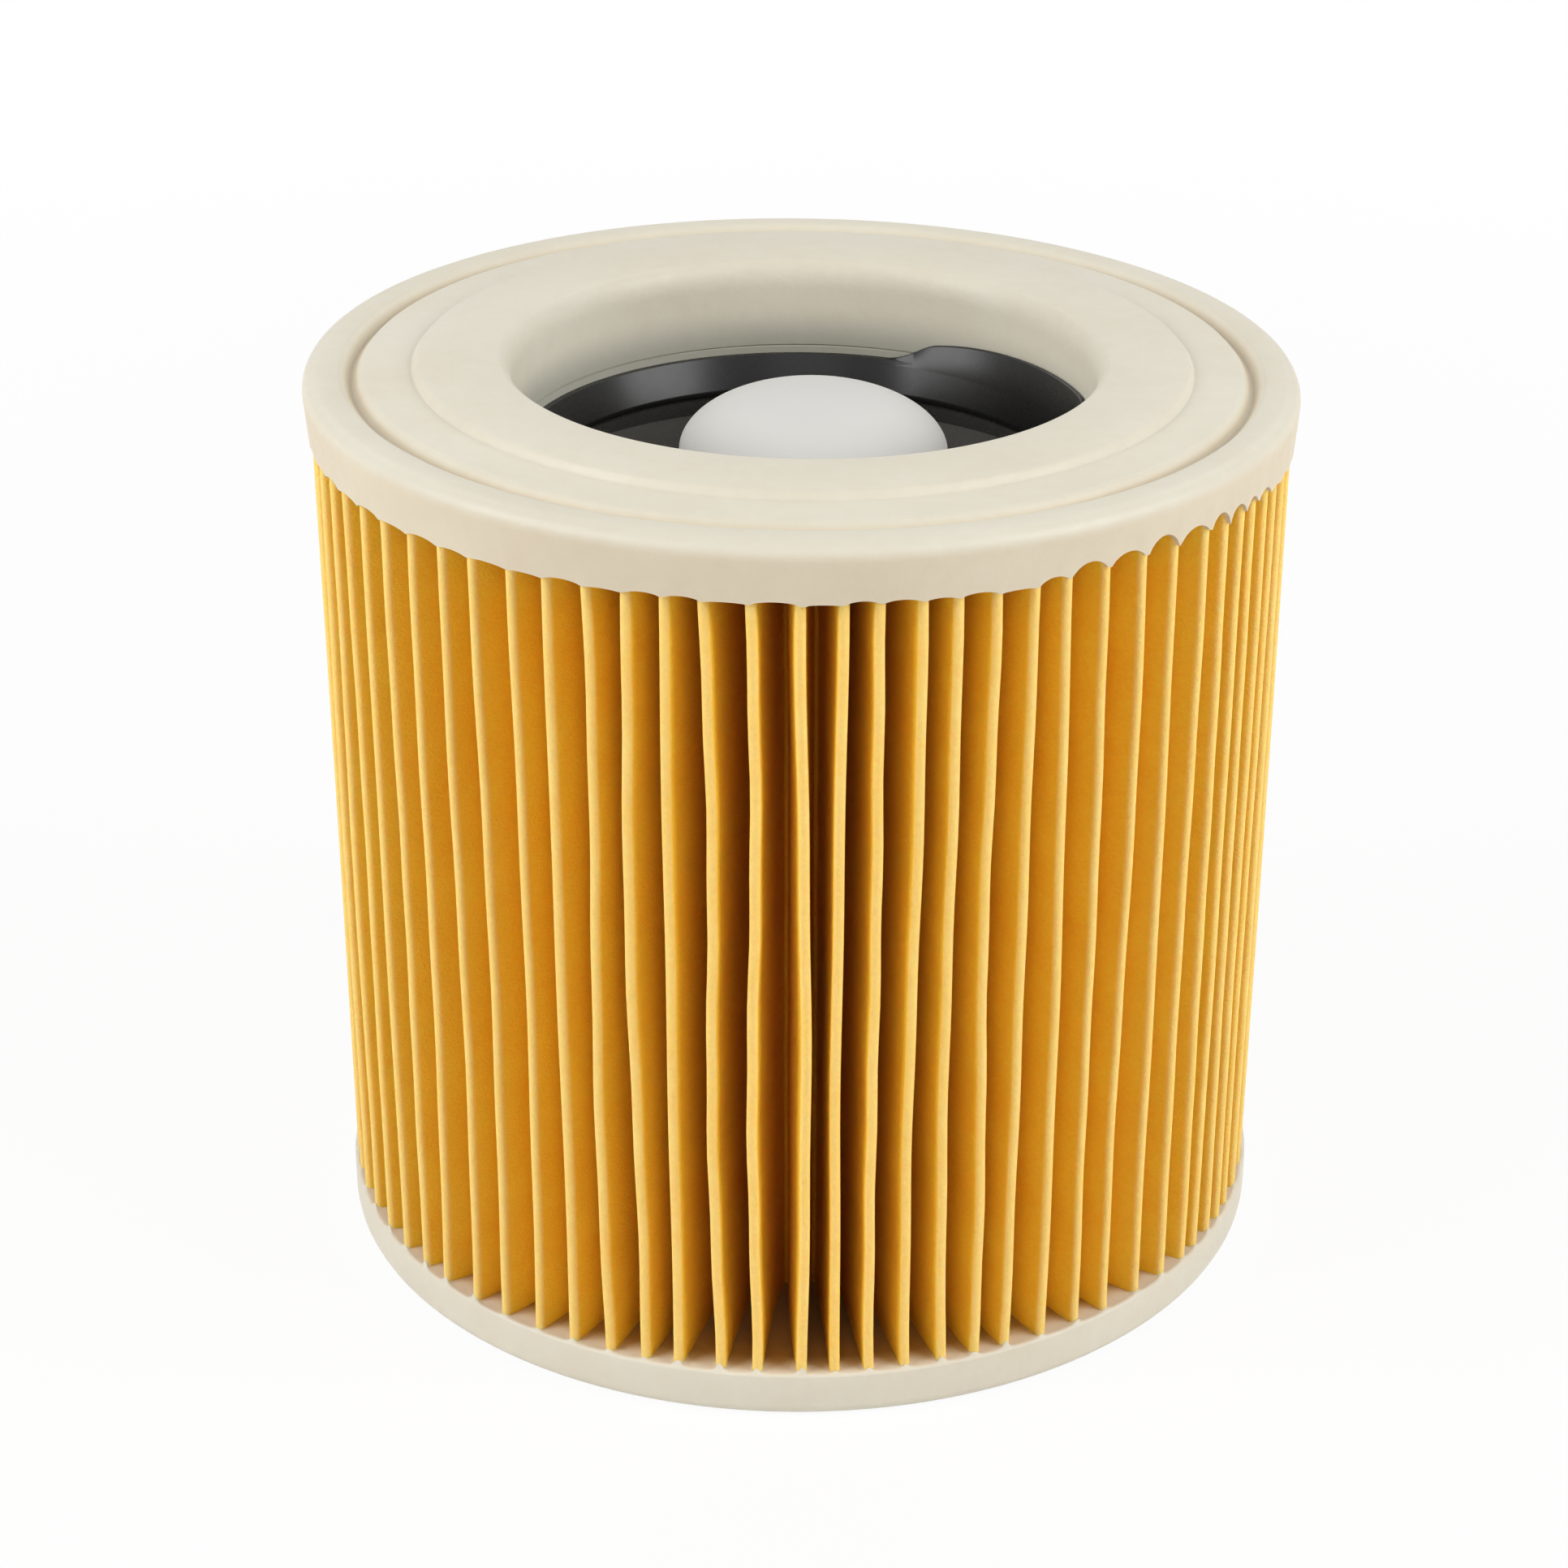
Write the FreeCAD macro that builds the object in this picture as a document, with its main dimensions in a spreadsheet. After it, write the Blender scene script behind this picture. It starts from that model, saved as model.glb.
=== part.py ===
import FreeCAD, Part
import math
import os
from types import SimpleNamespace

import Sketcher

# A pleated cartridge filter for a wet and dry vacuum cleaner, as separate solids.
# Two moulded end caps hold a folded paper ring around a plastic support cage. Inside the cage a hollow
# float rides on a guide post. Millimetres, +Z up, origin at the centre of the underside.

# Driving dimensions: name, value, meaning
SIZES = (
    ("bottom_cap_overhang", 0.3, "bottom cap, how far it stands out beyond the folds"),
    ("bottom_cap_height", 5.9, "bottom cap, thickness"),
    ("bottom_edge_rounding", 1.6, "bottom cap, rounding of the lower edge"),
    ("foot_width", 14.0, "bottom cap, width of the ring that it stands on"),
    ("foot_height", 0.8, "bottom cap, height of that ring"),
    ("pleat_height", 97.2, "paper ring, height between the caps"),
    ("pleat_outer_radius", 57.7, "paper ring, radius over the outer folds"),
    ("pleat_count", 74, "paper ring, number of folds"),
    ("paper_thickness", 0.6, "paper ring, thickness of the paper"),
    ("outer_fold_radius", 1.05, "paper ring, outside radius of an outer fold"),
    ("inner_fold_radius", 0.95, "paper ring, outside radius of an inner fold"),
    ("fold_clearance", 0.5, "gap from the support cage to the inner folds"),
    ("top_cap_overhang", 0.8, "top cap, how far the rim stands out beyond the folds"),
    ("top_cap_draft", 0.5, "top cap, how far the outer wall draws in at its lower edge"),
    ("top_cap_height", 8.1, "top cap, from the paper to the sealing face"),
    ("rim_rounding", 2.0, "top cap, rounding of the rim"),
    ("rim_width", 4.55, "top cap, width of the rim outside the groove"),
    ("groove_width", 1.8, "top cap, width of the groove in the top face"),
    ("groove_depth", 0.9, "top cap, depth of that groove"),
    ("groove_rounding", 0.6, "top cap, rounding of the groove's inner edge"),
    ("ring_width", 11.05, "sealing ring, width from the opening to its outer edge"),
    ("ring_step", 1.0, "sealing ring, height above the rim"),
    ("ring_rounding", 0.7, "sealing ring, rounding of the outer edge"),
    ("opening_radius", 34.35, "suction opening, radius"),
    ("opening_rounding", 1.5, "suction opening, rounding of the edge"),
    ("opening_depth", 11.7, "suction opening, from the sealing face to the cage's ledge"),
    ("skirt_wall", 2.85, "top cap, wall round the opening, which stands on the cage's ledge"),
    ("cage_wall", 1.8, "support cage, wall"),
    ("cage_floor", 2.0, "support cage, floor"),
    ("lead_in_width", 1.7, "support cage, how far the lead-in narrows the opening"),
    ("lead_in_depth", 3.8, "support cage, height of the lead-in"),
    ("throat_height", 0.5, "support cage, straight height below the lead-in"),
    ("wing_rise", 3.6, "bayonet wing, height above the ledge"),
    ("wing_gap", 0.15, "bayonet wing, gap to the opening's wall"),
    ("wing_thickness", 0.8, "bayonet wing, thickness at its foot"),
    ("wing_edge", 0.5, "bayonet wing, thickness at its top"),
    ("wing_span", 76.0, "bayonet wing, angle that it covers"),
    ("wing_azimuth", 34.0, "bayonet wing, angle of its middle from +X"),
    ("wing_count", 2, "bayonet wings"),
    ("wing_ramp", 9.6, "bayonet wing, length of the S-shaped ramp at each end"),
    ("window_width", 9.6, "cage window, width"),
    ("window_height", 18.0, "cage window, height"),
    ("window_rib", 4.0, "cage window, rib between two rows"),
    ("window_rise", 4.0, "cage window, first row's height above the floor"),
    ("window_columns", 16, "cage windows round the cage"),
    ("window_rows", 3, "cage windows, rows one above another"),
    ("guide_base_radius", 14.0, "float guide, radius of the foot"),
    ("guide_base_height", 2.2, "float guide, height of the foot"),
    ("guide_stem_radius", 7.0, "float guide, radius of the stem below the float's seat"),
    ("guide_seat_thickness", 2.4, "float guide, thickness of the float's seat"),
    ("guide_arm_width", 2.6, "float guide, thickness of the four arms"),
    ("guide_pad_height", 6.0, "float guide, height of the pads that hold the float"),
    ("guide_lead_in", 2.0, "float guide, slope on top of the pads"),
    ("locator_gap", 0.2, "gap round the guide's foot in the cage's locating ring"),
    ("locator_wall", 1.6, "locating ring on the cage's floor, wall"),
    ("locator_height", 2.0, "locating ring on the cage's floor, height"),
    ("float_seat_height", 34.1, "height of the float's seat above the bottom cap"),
    ("float_radius", 16.0, "float, outer radius"),
    ("float_wall", 1.2, "float, wall"),
    ("float_length", 59.0, "float, straight length below the dome"),
    ("float_dome_rise", 7.5, "float, rise of the dome"),
    ("float_play", 1.8, "radial play of the float on its guide"),
    ("lean_gap", 0.8, "gap left on the side to which the loose float leans"),
    ("float_travel", 10.0, "lift of the float"),
    ("stop_gap", 0.2, "room left at the ends of the float's lift"),
    ("ridge_rise", 27.0, "float, height of the retaining ridge above its lower rim"),
    ("ridge_height", 2.0, "float, height of the retaining ridge"),
    ("ridge_depth", 2.6, "float, how far the ridge stands out of the inner wall"),
)

# Overshoot that carries a cut clear of the face it starts or ends at
CLEAR = 1.0
SAME_PLACE = 1e-4


class Size:
    """A length together with the sheet expression that gives it."""

    def __init__(self, value, text):
        self.value = value
        self.text = text

    def __add__(self, other):
        return Size(self.value + other.value, f"({self.text} + {other.text})")

    def __sub__(self, other):
        return Size(self.value - other.value, f"({self.text} - {other.text})")

    def half(self):
        return Size(self.value / 2, f"({self.text} / 2)")

    def negative(self):
        return Size(-self.value, f"(0 - {self.text})")


CLEAR_SIZE = Size(CLEAR, str(CLEAR))
ZERO = Size(0.0, "0")
ON_AXIS = None
QUARTERS = "4"


def make_sheet(doc):
    """Writes the driving dimensions into the sheet and gives each one its name."""
    sheet = doc.addObject("Spreadsheet::Sheet", "Sizes")
    for row, (name, value, meaning) in enumerate(SIZES, start=1):
        sheet.set(f"A{row}", meaning)
        sheet.set(f"B{row}", str(value))
        sheet.setAlias(f"B{row}", name)
    doc.recompute()
    return SimpleNamespace(**{name: Size(sheet.get(name), f"Sizes.{name}") for name, _, _ in SIZES})


def add_levels(dim):
    """Works out the heights and radii at which the pieces meet."""
    dim.pleat_top = dim.bottom_cap_height + dim.pleat_height
    dim.sealing_face = dim.pleat_top + dim.top_cap_height
    dim.rim_face = dim.sealing_face - dim.ring_step
    dim.ledge = dim.sealing_face - dim.opening_depth
    dim.bottom_cap_radius = dim.pleat_outer_radius + dim.bottom_cap_overhang
    dim.top_cap_radius = dim.pleat_outer_radius + dim.top_cap_overhang
    dim.cage_radius = dim.opening_radius + dim.skirt_wall
    dim.pleat_inner_radius = dim.cage_radius + dim.fold_clearance
    dim.cage_inner_radius = dim.cage_radius - dim.cage_wall
    dim.cage_floor_top = dim.bottom_cap_height + dim.cage_floor
    dim.wing_top = dim.ledge + dim.wing_rise
    dim.wing_outer_radius = dim.opening_radius - dim.wing_gap
    dim.lead_in_radius = dim.wing_outer_radius - dim.wing_thickness
    dim.throat_radius = dim.lead_in_radius - dim.lead_in_width
    dim.float_seat = dim.bottom_cap_height + dim.float_seat_height
    dim.float_inner_radius = dim.float_radius - dim.float_wall
    dim.float_lean = dim.float_play - dim.lean_gap
    dim.ridge_low = dim.float_seat + dim.ridge_rise
    dim.ridge_inner_radius = dim.float_inner_radius - dim.ridge_depth
    dim.guide_arm_radius = dim.float_inner_radius - dim.float_play
    dim.guide_neck_radius = dim.ridge_inner_radius - dim.float_play
    dim.pad_low = dim.ridge_low + dim.ridge_height + dim.float_travel + dim.stop_gap
    dim.pad_top = dim.pad_low + dim.guide_pad_height


def new_body(doc, label):
    body = doc.addObject("PartDesign::Body", label)
    body.Label = label
    return body


def origin_feature(body, role):
    return next(feature for feature in body.Origin.OriginFeatures if feature.Role == role)


def new_sketch(body, name, plane, offset=None):
    """Adds a sketch on one of the body's own origin planes."""
    sketch = body.newObject("Sketcher::SketchObject", name)
    sketch.AttachmentSupport = [(origin_feature(body, plane), "")]
    sketch.MapMode = "FlatFace"
    if offset:
        sketch.AttachmentOffset = offset
    return sketch


def hold(sketch, direction, axis, line, size):
    """Ties one coordinate of a line's start to the sheet, or puts that start on the sketch axis."""
    if size is ON_AXIS:
        sketch.addConstraint(Sketcher.Constraint("PointOnObject", line, 1, axis))
        return
    number = sketch.addConstraint(Sketcher.Constraint(direction, -1, 1, line, 1, size.value))
    sketch.setExpression(f"Constraints[{number}]", size.text)


def coordinate(size):
    return 0.0 if size is ON_AXIS else size.value


def draw_outline(sketch, corners):
    """Draws a closed outline and ties both coordinates of each corner to the sheet."""
    first = sketch.GeometryCount
    points = [FreeCAD.Vector(coordinate(across), coordinate(up), 0) for across, up in corners]
    for start, end in zip(points, points[1:] + points[:1]):
        sketch.addGeometry(Part.LineSegment(start, end))
    for index, (across, up) in enumerate(corners):
        previous = first + (index - 1) % len(corners)
        sketch.addConstraint(Sketcher.Constraint("Coincident", first + index, 1, previous, 2))
        hold(sketch, "DistanceX", -2, first + index, across)
        hold(sketch, "DistanceY", -1, first + index, up)


def revolve(body, name, corners):
    """Turns a closed section once round the body's axis."""
    sketch = new_sketch(body, f"{name}_section", "XZ_Plane")
    draw_outline(sketch, corners)
    feature = body.newObject("PartDesign::Revolution", name)
    feature.Profile = sketch
    feature.ReferenceAxis = (sketch, ["V_Axis"])
    feature.Angle = 360
    body.Document.recompute()
    return feature


def round_rings(body, name, rounding, places):
    """Rounds the circular edges that lie at the given radius and height."""
    base = body.Tip
    edges = []
    for number, edge in enumerate(base.Shape.Edges, start=1):
        if not isinstance(edge.Curve, Part.Circle):
            continue
        for radius, height in places:
            if math.dist((edge.Curve.Radius, edge.Curve.Center.z), (radius.value, height.value)) < SAME_PLACE:
                edges.append(f"Edge{number}")
    feature = body.newObject("PartDesign::Fillet", name)
    feature.Base = (base, edges)
    feature.setExpression("Radius", rounding.text)
    body.Document.recompute()


def repeat(body, name, originals, count_text):
    """Repeats features round the body's axis."""
    feature = body.newObject("PartDesign::PolarPattern", name)
    feature.Originals = originals
    feature.Axis = (origin_feature(body, "Z_Axis"), [""])
    feature.Angle = 360
    feature.setExpression("Occurrences", count_text)
    body.Tip = feature
    body.Document.recompute()


def bottom_end_cap(doc, dim):
    """A closed moulded disc that stands on a flat ring."""
    body = new_body(doc, "bottom_end_cap")
    foot_inner_radius = dim.bottom_cap_radius - dim.foot_width
    revolve(body, "bottom_disc", [
        (ON_AXIS, dim.foot_height),
        (foot_inner_radius, dim.foot_height),
        (foot_inner_radius, ON_AXIS),
        (dim.bottom_cap_radius, ON_AXIS),
        (dim.bottom_cap_radius, dim.bottom_cap_height),
        (ON_AXIS, dim.bottom_cap_height),
    ])
    round_rings(body, "bottom_edge", dim.bottom_edge_rounding, [(dim.bottom_cap_radius, ZERO)])
    return body


def top_end_cap(doc, dim):
    """A moulded ring with a grooved rim, a raised sealing ring and the suction opening."""
    body = new_body(doc, "top_end_cap")
    groove_outer_radius = dim.top_cap_radius - dim.rim_width
    groove_inner_radius = groove_outer_radius - dim.groove_width
    groove_floor = dim.rim_face - dim.groove_depth
    ring_outer_radius = dim.opening_radius + dim.ring_width
    revolve(body, "cap_ring", [
        (dim.opening_radius, dim.ledge),
        (dim.cage_radius, dim.ledge),
        (dim.cage_radius, dim.pleat_top),
        (dim.top_cap_radius - dim.top_cap_draft, dim.pleat_top),
        (dim.top_cap_radius, dim.rim_face),
        (groove_outer_radius, dim.rim_face),
        (groove_outer_radius, groove_floor),
        (groove_inner_radius, groove_floor),
        (groove_inner_radius, dim.rim_face),
        (ring_outer_radius, dim.rim_face),
        (ring_outer_radius, dim.sealing_face),
        (dim.opening_radius, dim.sealing_face),
    ])
    round_rings(body, "rim_edge", dim.rim_rounding, [(dim.top_cap_radius, dim.rim_face)])
    round_rings(body, "groove_edge", dim.groove_rounding, [(groove_inner_radius, dim.rim_face)])
    round_rings(body, "ring_edge", dim.ring_rounding, [(ring_outer_radius, dim.sealing_face)])
    round_rings(body, "opening_edge", dim.opening_rounding, [(dim.opening_radius, dim.sealing_face)])
    return body


def mirrored(point):
    return FreeCAD.Vector(point.x, -point.y, point.z)


def fold_edges(dim):
    """One fold of the paper, from the middle of one inner fold to the middle of the next.

    A flank is the crossing tangent of the outer fold's circle and the inner fold's circle, so the paper
    keeps its thickness round both folds.
    """
    half_pitch = math.pi / dim.pleat_count.value
    thickness = dim.paper_thickness.value
    outer_radius = dim.outer_fold_radius.value
    inner_radius = dim.inner_fold_radius.value
    outward = FreeCAD.Vector(math.cos(half_pitch), math.sin(half_pitch), 0)
    outer_centre = FreeCAD.Vector(dim.pleat_outer_radius.value - outer_radius, 0, 0)
    inner_centre = outward * (dim.pleat_inner_radius.value + inner_radius)
    span = inner_centre - outer_centre
    reach = outer_radius + inner_radius - thickness
    direction = math.atan2(span.y, span.x) - math.acos(reach / span.Length)
    side = FreeCAD.Vector(math.cos(direction), math.sin(direction), 0)
    between = (side + outward).normalize()
    edges = []
    for outer, inner in ((outer_radius, inner_radius - thickness), (outer_radius - thickness, inner_radius)):
        start = outer_centre + side * outer
        end = inner_centre - side * inner
        middle = inner_centre - between * inner
        foot = inner_centre - outward * inner
        tip = outer_centre + FreeCAD.Vector(outer, 0, 0)
        edges.append(Part.Arc(mirrored(start), tip, start))
        for place in (FreeCAD.Vector, mirrored):
            edges.append(Part.LineSegment(place(start), place(end)))
            edges.append(Part.Arc(place(end), place(middle), place(foot)))
    outer_foot = inner_centre - outward * (inner_radius - thickness)
    inner_foot = inner_centre - outward * inner_radius
    for place in (FreeCAD.Vector, mirrored):
        edges.append(Part.LineSegment(place(outer_foot), place(inner_foot)))
    return edges


def pleated_media(doc, dim):
    """One sheet of filter paper, folded into a ring that stands between the caps."""
    body = new_body(doc, "pleated_media")
    sketch = new_sketch(body, "fold_section", "XY_Plane")
    sketch.setExpression("AttachmentOffset.Base.z", dim.bottom_cap_height.text)
    sketch.addGeometry(fold_edges(dim))
    fold = body.newObject("PartDesign::Pad", "fold")
    fold.Profile = sketch
    fold.setExpression("Length", dim.pleat_height.text)
    doc.recompute()
    repeat(body, "folds", [fold], dim.pleat_count.text)
    return body


def upright_plane(azimuth, distance=0.0):
    """Offset from the XZ plane to one turned about Z, and moved out along its normal."""
    turn = FreeCAD.Rotation(FreeCAD.Vector(0, 1, 0), azimuth)
    return FreeCAD.Placement(turn.multVec(FreeCAD.Vector(0, 0, distance)), turn)


def ramp_edges(dim, facing):
    """The area above an S-shaped ramp, which falls from the wing's top to the ledge towards facing."""
    low, high = dim.ledge.value, dim.wing_top.value
    reach = dim.wing_ramp.value / 2
    rise = high - low
    bend = (4 * reach ** 2 + rise ** 2) / (4 * rise)
    half_turn = math.atan2(rise, 2 * reach)
    sag = bend * (1 - math.cos(half_turn))
    lean = bend * math.sin(half_turn)

    def at(along, height):
        return FreeCAD.Vector(facing * along, height, 0)

    crest, middle, foot = at(-reach, high), at(0, (low + high) / 2), at(reach, low)
    past_foot, above_foot = at(reach + CLEAR, low), at(reach + CLEAR, high + CLEAR)
    above_crest = at(-reach, high + CLEAR)
    return [
        Part.Arc(crest, at(lean - reach, high - sag), middle),
        Part.Arc(middle, at(reach - lean, low + sag), foot),
        Part.LineSegment(foot, past_foot),
        Part.LineSegment(past_foot, above_foot),
        Part.LineSegment(above_foot, above_crest),
        Part.LineSegment(above_crest, crest),
    ]


def bayonet_wings(body, dim):
    """Raised arcs on the cage's ledge that lock the filter to the cleaner, with a ramp at each end."""
    doc = body.Document
    middle = dim.wing_azimuth.value
    section = new_sketch(body, "wing_section", "XZ_Plane", upright_plane(middle))
    draw_outline(section, [
        (dim.lead_in_radius, dim.ledge - CLEAR_SIZE),
        (dim.wing_outer_radius, dim.ledge - CLEAR_SIZE),
        (dim.wing_outer_radius, dim.wing_top),
        (dim.wing_outer_radius - dim.wing_edge, dim.wing_top),
        (dim.lead_in_radius, dim.ledge),
    ])
    wing = body.newObject("PartDesign::Revolution", "wing")
    wing.Profile = section
    wing.ReferenceAxis = (section, ["V_Axis"])
    wing.Midplane = True
    wing.setExpression("Angle", dim.wing_span.text)
    doc.recompute()
    features = [wing]
    ramp_half_angle = math.degrees(dim.wing_ramp.value / 2 / dim.lead_in_radius.value)
    for facing in (-1, 1):
        azimuth = middle + facing * (dim.wing_span.value / 2 - ramp_half_angle)
        start = dim.throat_radius.value - CLEAR
        sketch = new_sketch(body, "ramp_section", "XZ_Plane", upright_plane(azimuth + 90, start))
        sketch.addGeometry(ramp_edges(dim, facing))
        ramp = body.newObject("PartDesign::Pocket", "ramp")
        ramp.Profile = sketch
        ramp.Reversed = True
        ramp.setExpression("Length", (dim.opening_radius - dim.throat_radius + CLEAR_SIZE).text)
        doc.recompute()
        features.append(ramp)
    repeat(body, "wings", features, dim.wing_count.text)


def cage_windows(body, dim):
    """Rows of windows through the cage's wall, where the cleaned air comes in."""
    sketch = new_sketch(body, "window_section", "XZ_Plane")
    right = dim.window_width.half()
    left = right.negative()
    low = dim.cage_floor_top + dim.window_rise
    for _ in range(int(dim.window_rows.value)):
        high = low + dim.window_height
        draw_outline(sketch, [(left, low), (right, low), (right, high), (left, high)])
        low = high + dim.window_rib
    window = body.newObject("PartDesign::Pocket", "window")
    window.Profile = sketch
    window.Reversed = True
    window.setExpression("Length", (dim.cage_radius + CLEAR_SIZE).text)
    body.Document.recompute()
    repeat(body, "windows", [window], dim.window_columns.text)


def support_cage(doc, dim):
    """A windowed tube with a floor, which keeps the paper open and carries the bayonet."""
    body = new_body(doc, "support_cage")
    throat_top = dim.ledge - dim.lead_in_depth
    throat_low = throat_top - dim.throat_height
    locator_inner_radius = dim.guide_base_radius + dim.locator_gap
    locator_outer_radius = locator_inner_radius + dim.locator_wall
    locator_top = dim.cage_floor_top + dim.locator_height
    revolve(body, "cage_tube", [
        (ON_AXIS, dim.bottom_cap_height),
        (dim.cage_radius, dim.bottom_cap_height),
        (dim.cage_radius, dim.ledge),
        (dim.lead_in_radius, dim.ledge),
        (dim.throat_radius, throat_top),
        (dim.throat_radius, throat_low),
        (dim.cage_inner_radius, throat_low - (dim.cage_inner_radius - dim.throat_radius)),
        (dim.cage_inner_radius, dim.cage_floor_top),
        (locator_outer_radius, dim.cage_floor_top),
        (locator_outer_radius, locator_top),
        (locator_inner_radius, locator_top),
        (locator_inner_radius, dim.cage_floor_top),
        (ON_AXIS, dim.cage_floor_top),
    ])
    cage_windows(body, dim)
    bayonet_wings(body, dim)
    return body


def float_guide(doc, dim):
    """A post on the cage's floor: a seat for the float, and four arms with pads that keep it on."""
    body = new_body(doc, "float_guide")
    foot_top = dim.cage_floor_top + dim.guide_base_height
    seat_low = dim.float_seat - dim.guide_seat_thickness
    neck_low = dim.ridge_low - dim.stop_gap
    revolve(body, "guide_post", [
        (ON_AXIS, dim.cage_floor_top),
        (dim.guide_base_radius, dim.cage_floor_top),
        (dim.guide_base_radius, foot_top),
        (dim.guide_stem_radius, foot_top),
        (dim.guide_stem_radius, seat_low),
        (dim.float_radius, seat_low),
        (dim.float_radius, dim.float_seat),
        (dim.guide_arm_radius, dim.float_seat),
        (dim.guide_arm_radius, neck_low),
        (dim.guide_neck_radius, neck_low),
        (dim.guide_neck_radius, dim.pad_low),
        (dim.guide_arm_radius, dim.pad_low),
        (dim.guide_arm_radius, dim.pad_top - dim.guide_lead_in),
        (dim.guide_arm_radius - dim.guide_lead_in, dim.pad_top),
        (ON_AXIS, dim.pad_top),
    ])
    sketch = new_sketch(body, "quarter_section", "XY_Plane")
    sketch.setExpression("AttachmentOffset.Base.z", dim.float_seat.text)
    near = dim.guide_arm_width.half()
    far = dim.guide_arm_radius + CLEAR_SIZE
    draw_outline(sketch, [(near, near), (far, near), (far, far), (near, far)])
    quarter = body.newObject("PartDesign::Pocket", "quarter")
    quarter.Profile = sketch
    quarter.Reversed = True
    quarter.setExpression("Length", (dim.pad_top - dim.float_seat + CLEAR_SIZE).text)
    doc.recompute()
    repeat(body, "quarters", [quarter], QUARTERS)
    return body


def new_solid(doc, dim, kind, name, height, sizes):
    """Adds a primitive on the float's axis at a height, with its sizes tied to the sheet."""
    solid = doc.addObject(kind, name)
    for key, size in sizes.items():
        solid.setExpression(key, size.text)
    solid.setExpression("Placement.Base.x", dim.float_lean.text)
    solid.setExpression("Placement.Base.z", height.text)
    return solid


def domed_cylinder(doc, dim, name, inset):
    """A cylinder on the float's seat with an elliptical dome, smaller all round by inset."""
    radius = dim.float_radius - inset
    dome_foot = dim.float_seat + dim.float_length
    barrel = new_solid(doc, dim, "Part::Cylinder", f"{name}_barrel", dim.float_seat, {
        "Radius": radius,
        "Height": dim.float_length,
    })
    dome = new_solid(doc, dim, "Part::Ellipsoid", f"{name}_dome", dome_foot, {
        "Radius1": dim.float_dome_rise - inset,
        "Radius2": radius,
        "Radius3": radius,
    })
    dome.Angle1 = 0
    fused = doc.addObject("Part::Fuse", name)
    fused.Base = barrel
    fused.Tool = dome
    return fused


def float_cup(doc, dim):
    """A hollow float, open below, with a ridge inside that keeps it on the guide."""
    shell = doc.addObject("Part::Cut", "float_shell")
    shell.Base = domed_cylinder(doc, dim, "float_outside", ZERO)
    shell.Tool = domed_cylinder(doc, dim, "float_inside", dim.float_wall)
    ridge = doc.addObject("Part::Cut", "float_ridge")
    ridge.Base = new_solid(doc, dim, "Part::Cylinder", "ridge_outside", dim.ridge_low, {
        "Radius": dim.float_inner_radius + dim.float_wall.half(),
        "Height": dim.ridge_height,
    })
    ridge.Tool = new_solid(doc, dim, "Part::Cylinder", "ridge_inside", dim.ridge_low, {
        "Radius": dim.ridge_inner_radius,
        "Height": dim.ridge_height,
    })
    cup = doc.addObject("Part::Fuse", "shutoff_float")
    cup.Base = shell
    cup.Tool = ridge
    cup.Label = "shutoff_float"
    return cup


def check(doc, nodes):
    """Stops the build if an object failed or a sub-part isn't one sound solid."""
    for item in doc.Objects:
        if "Invalid" in item.State or "Error" in item.State:
            raise RuntimeError(f"{item.Name} failed: {item.State}")
    for node in nodes:
        shape = node.Shape
        if shape.isNull() or not shape.isValid() or len(shape.Solids) != 1:
            raise RuntimeError(f"{node.Label} isn't one sound solid")


def main():
    doc = FreeCAD.newDocument("cartridge_filter")
    dim = make_sheet(doc)
    add_levels(dim)
    builders = (bottom_end_cap, pleated_media, top_end_cap, support_cage, float_guide, float_cup)
    nodes = [builder(doc, dim) for builder in builders]
    doc.recompute()
    check(doc, nodes)
    os.makedirs("parts", exist_ok=True)
    for node in nodes:
        node.Shape.exportStep(f"parts/{node.Label}.step")
        print(node.Label, round(node.Shape.Volume), "mm3", node.Shape.BoundBox)


main()
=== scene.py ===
import bisect
import functools
import math
import random

import bpy
from mathutils import Matrix, Vector


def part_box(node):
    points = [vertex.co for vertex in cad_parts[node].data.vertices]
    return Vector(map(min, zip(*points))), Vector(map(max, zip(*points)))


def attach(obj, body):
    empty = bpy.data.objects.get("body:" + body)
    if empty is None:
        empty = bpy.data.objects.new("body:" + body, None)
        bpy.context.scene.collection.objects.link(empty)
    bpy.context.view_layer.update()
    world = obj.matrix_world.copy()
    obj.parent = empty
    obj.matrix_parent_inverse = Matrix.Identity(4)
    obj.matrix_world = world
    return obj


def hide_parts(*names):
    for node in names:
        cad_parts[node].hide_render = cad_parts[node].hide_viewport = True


# A pleated cartridge filter: cream moulded end caps, folded amber paper, a black cage and a white float.
# Everything is in metres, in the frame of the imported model.

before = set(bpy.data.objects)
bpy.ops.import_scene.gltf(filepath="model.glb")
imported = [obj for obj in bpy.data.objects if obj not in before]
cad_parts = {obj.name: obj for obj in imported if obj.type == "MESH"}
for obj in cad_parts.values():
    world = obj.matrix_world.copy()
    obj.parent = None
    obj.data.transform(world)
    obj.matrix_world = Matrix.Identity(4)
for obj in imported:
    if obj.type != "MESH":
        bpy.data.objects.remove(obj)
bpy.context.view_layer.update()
MM = 0.001
NEAR = 0.01 * MM
SEED = 41

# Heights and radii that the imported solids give
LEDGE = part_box("top_end_cap")[0].z
SEALING_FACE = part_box("top_end_cap")[1].z
PAPER_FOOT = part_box("pleated_media")[0].z
PAPER_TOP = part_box("pleated_media")[1].z
CAGE_FLOOR_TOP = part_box("float_guide")[0].z
WING_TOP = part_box("support_cage")[1].z
FLOAT_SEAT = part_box("shutoff_float")[0].z
FLOAT_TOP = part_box("shutoff_float")[1].z


def node_radii(node):
    """Smallest and largest distance of a node's points from the axis."""
    radii = [math.hypot(v.co.x, v.co.y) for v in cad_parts[node].data.vertices]
    return min(radii), max(radii)


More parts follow.
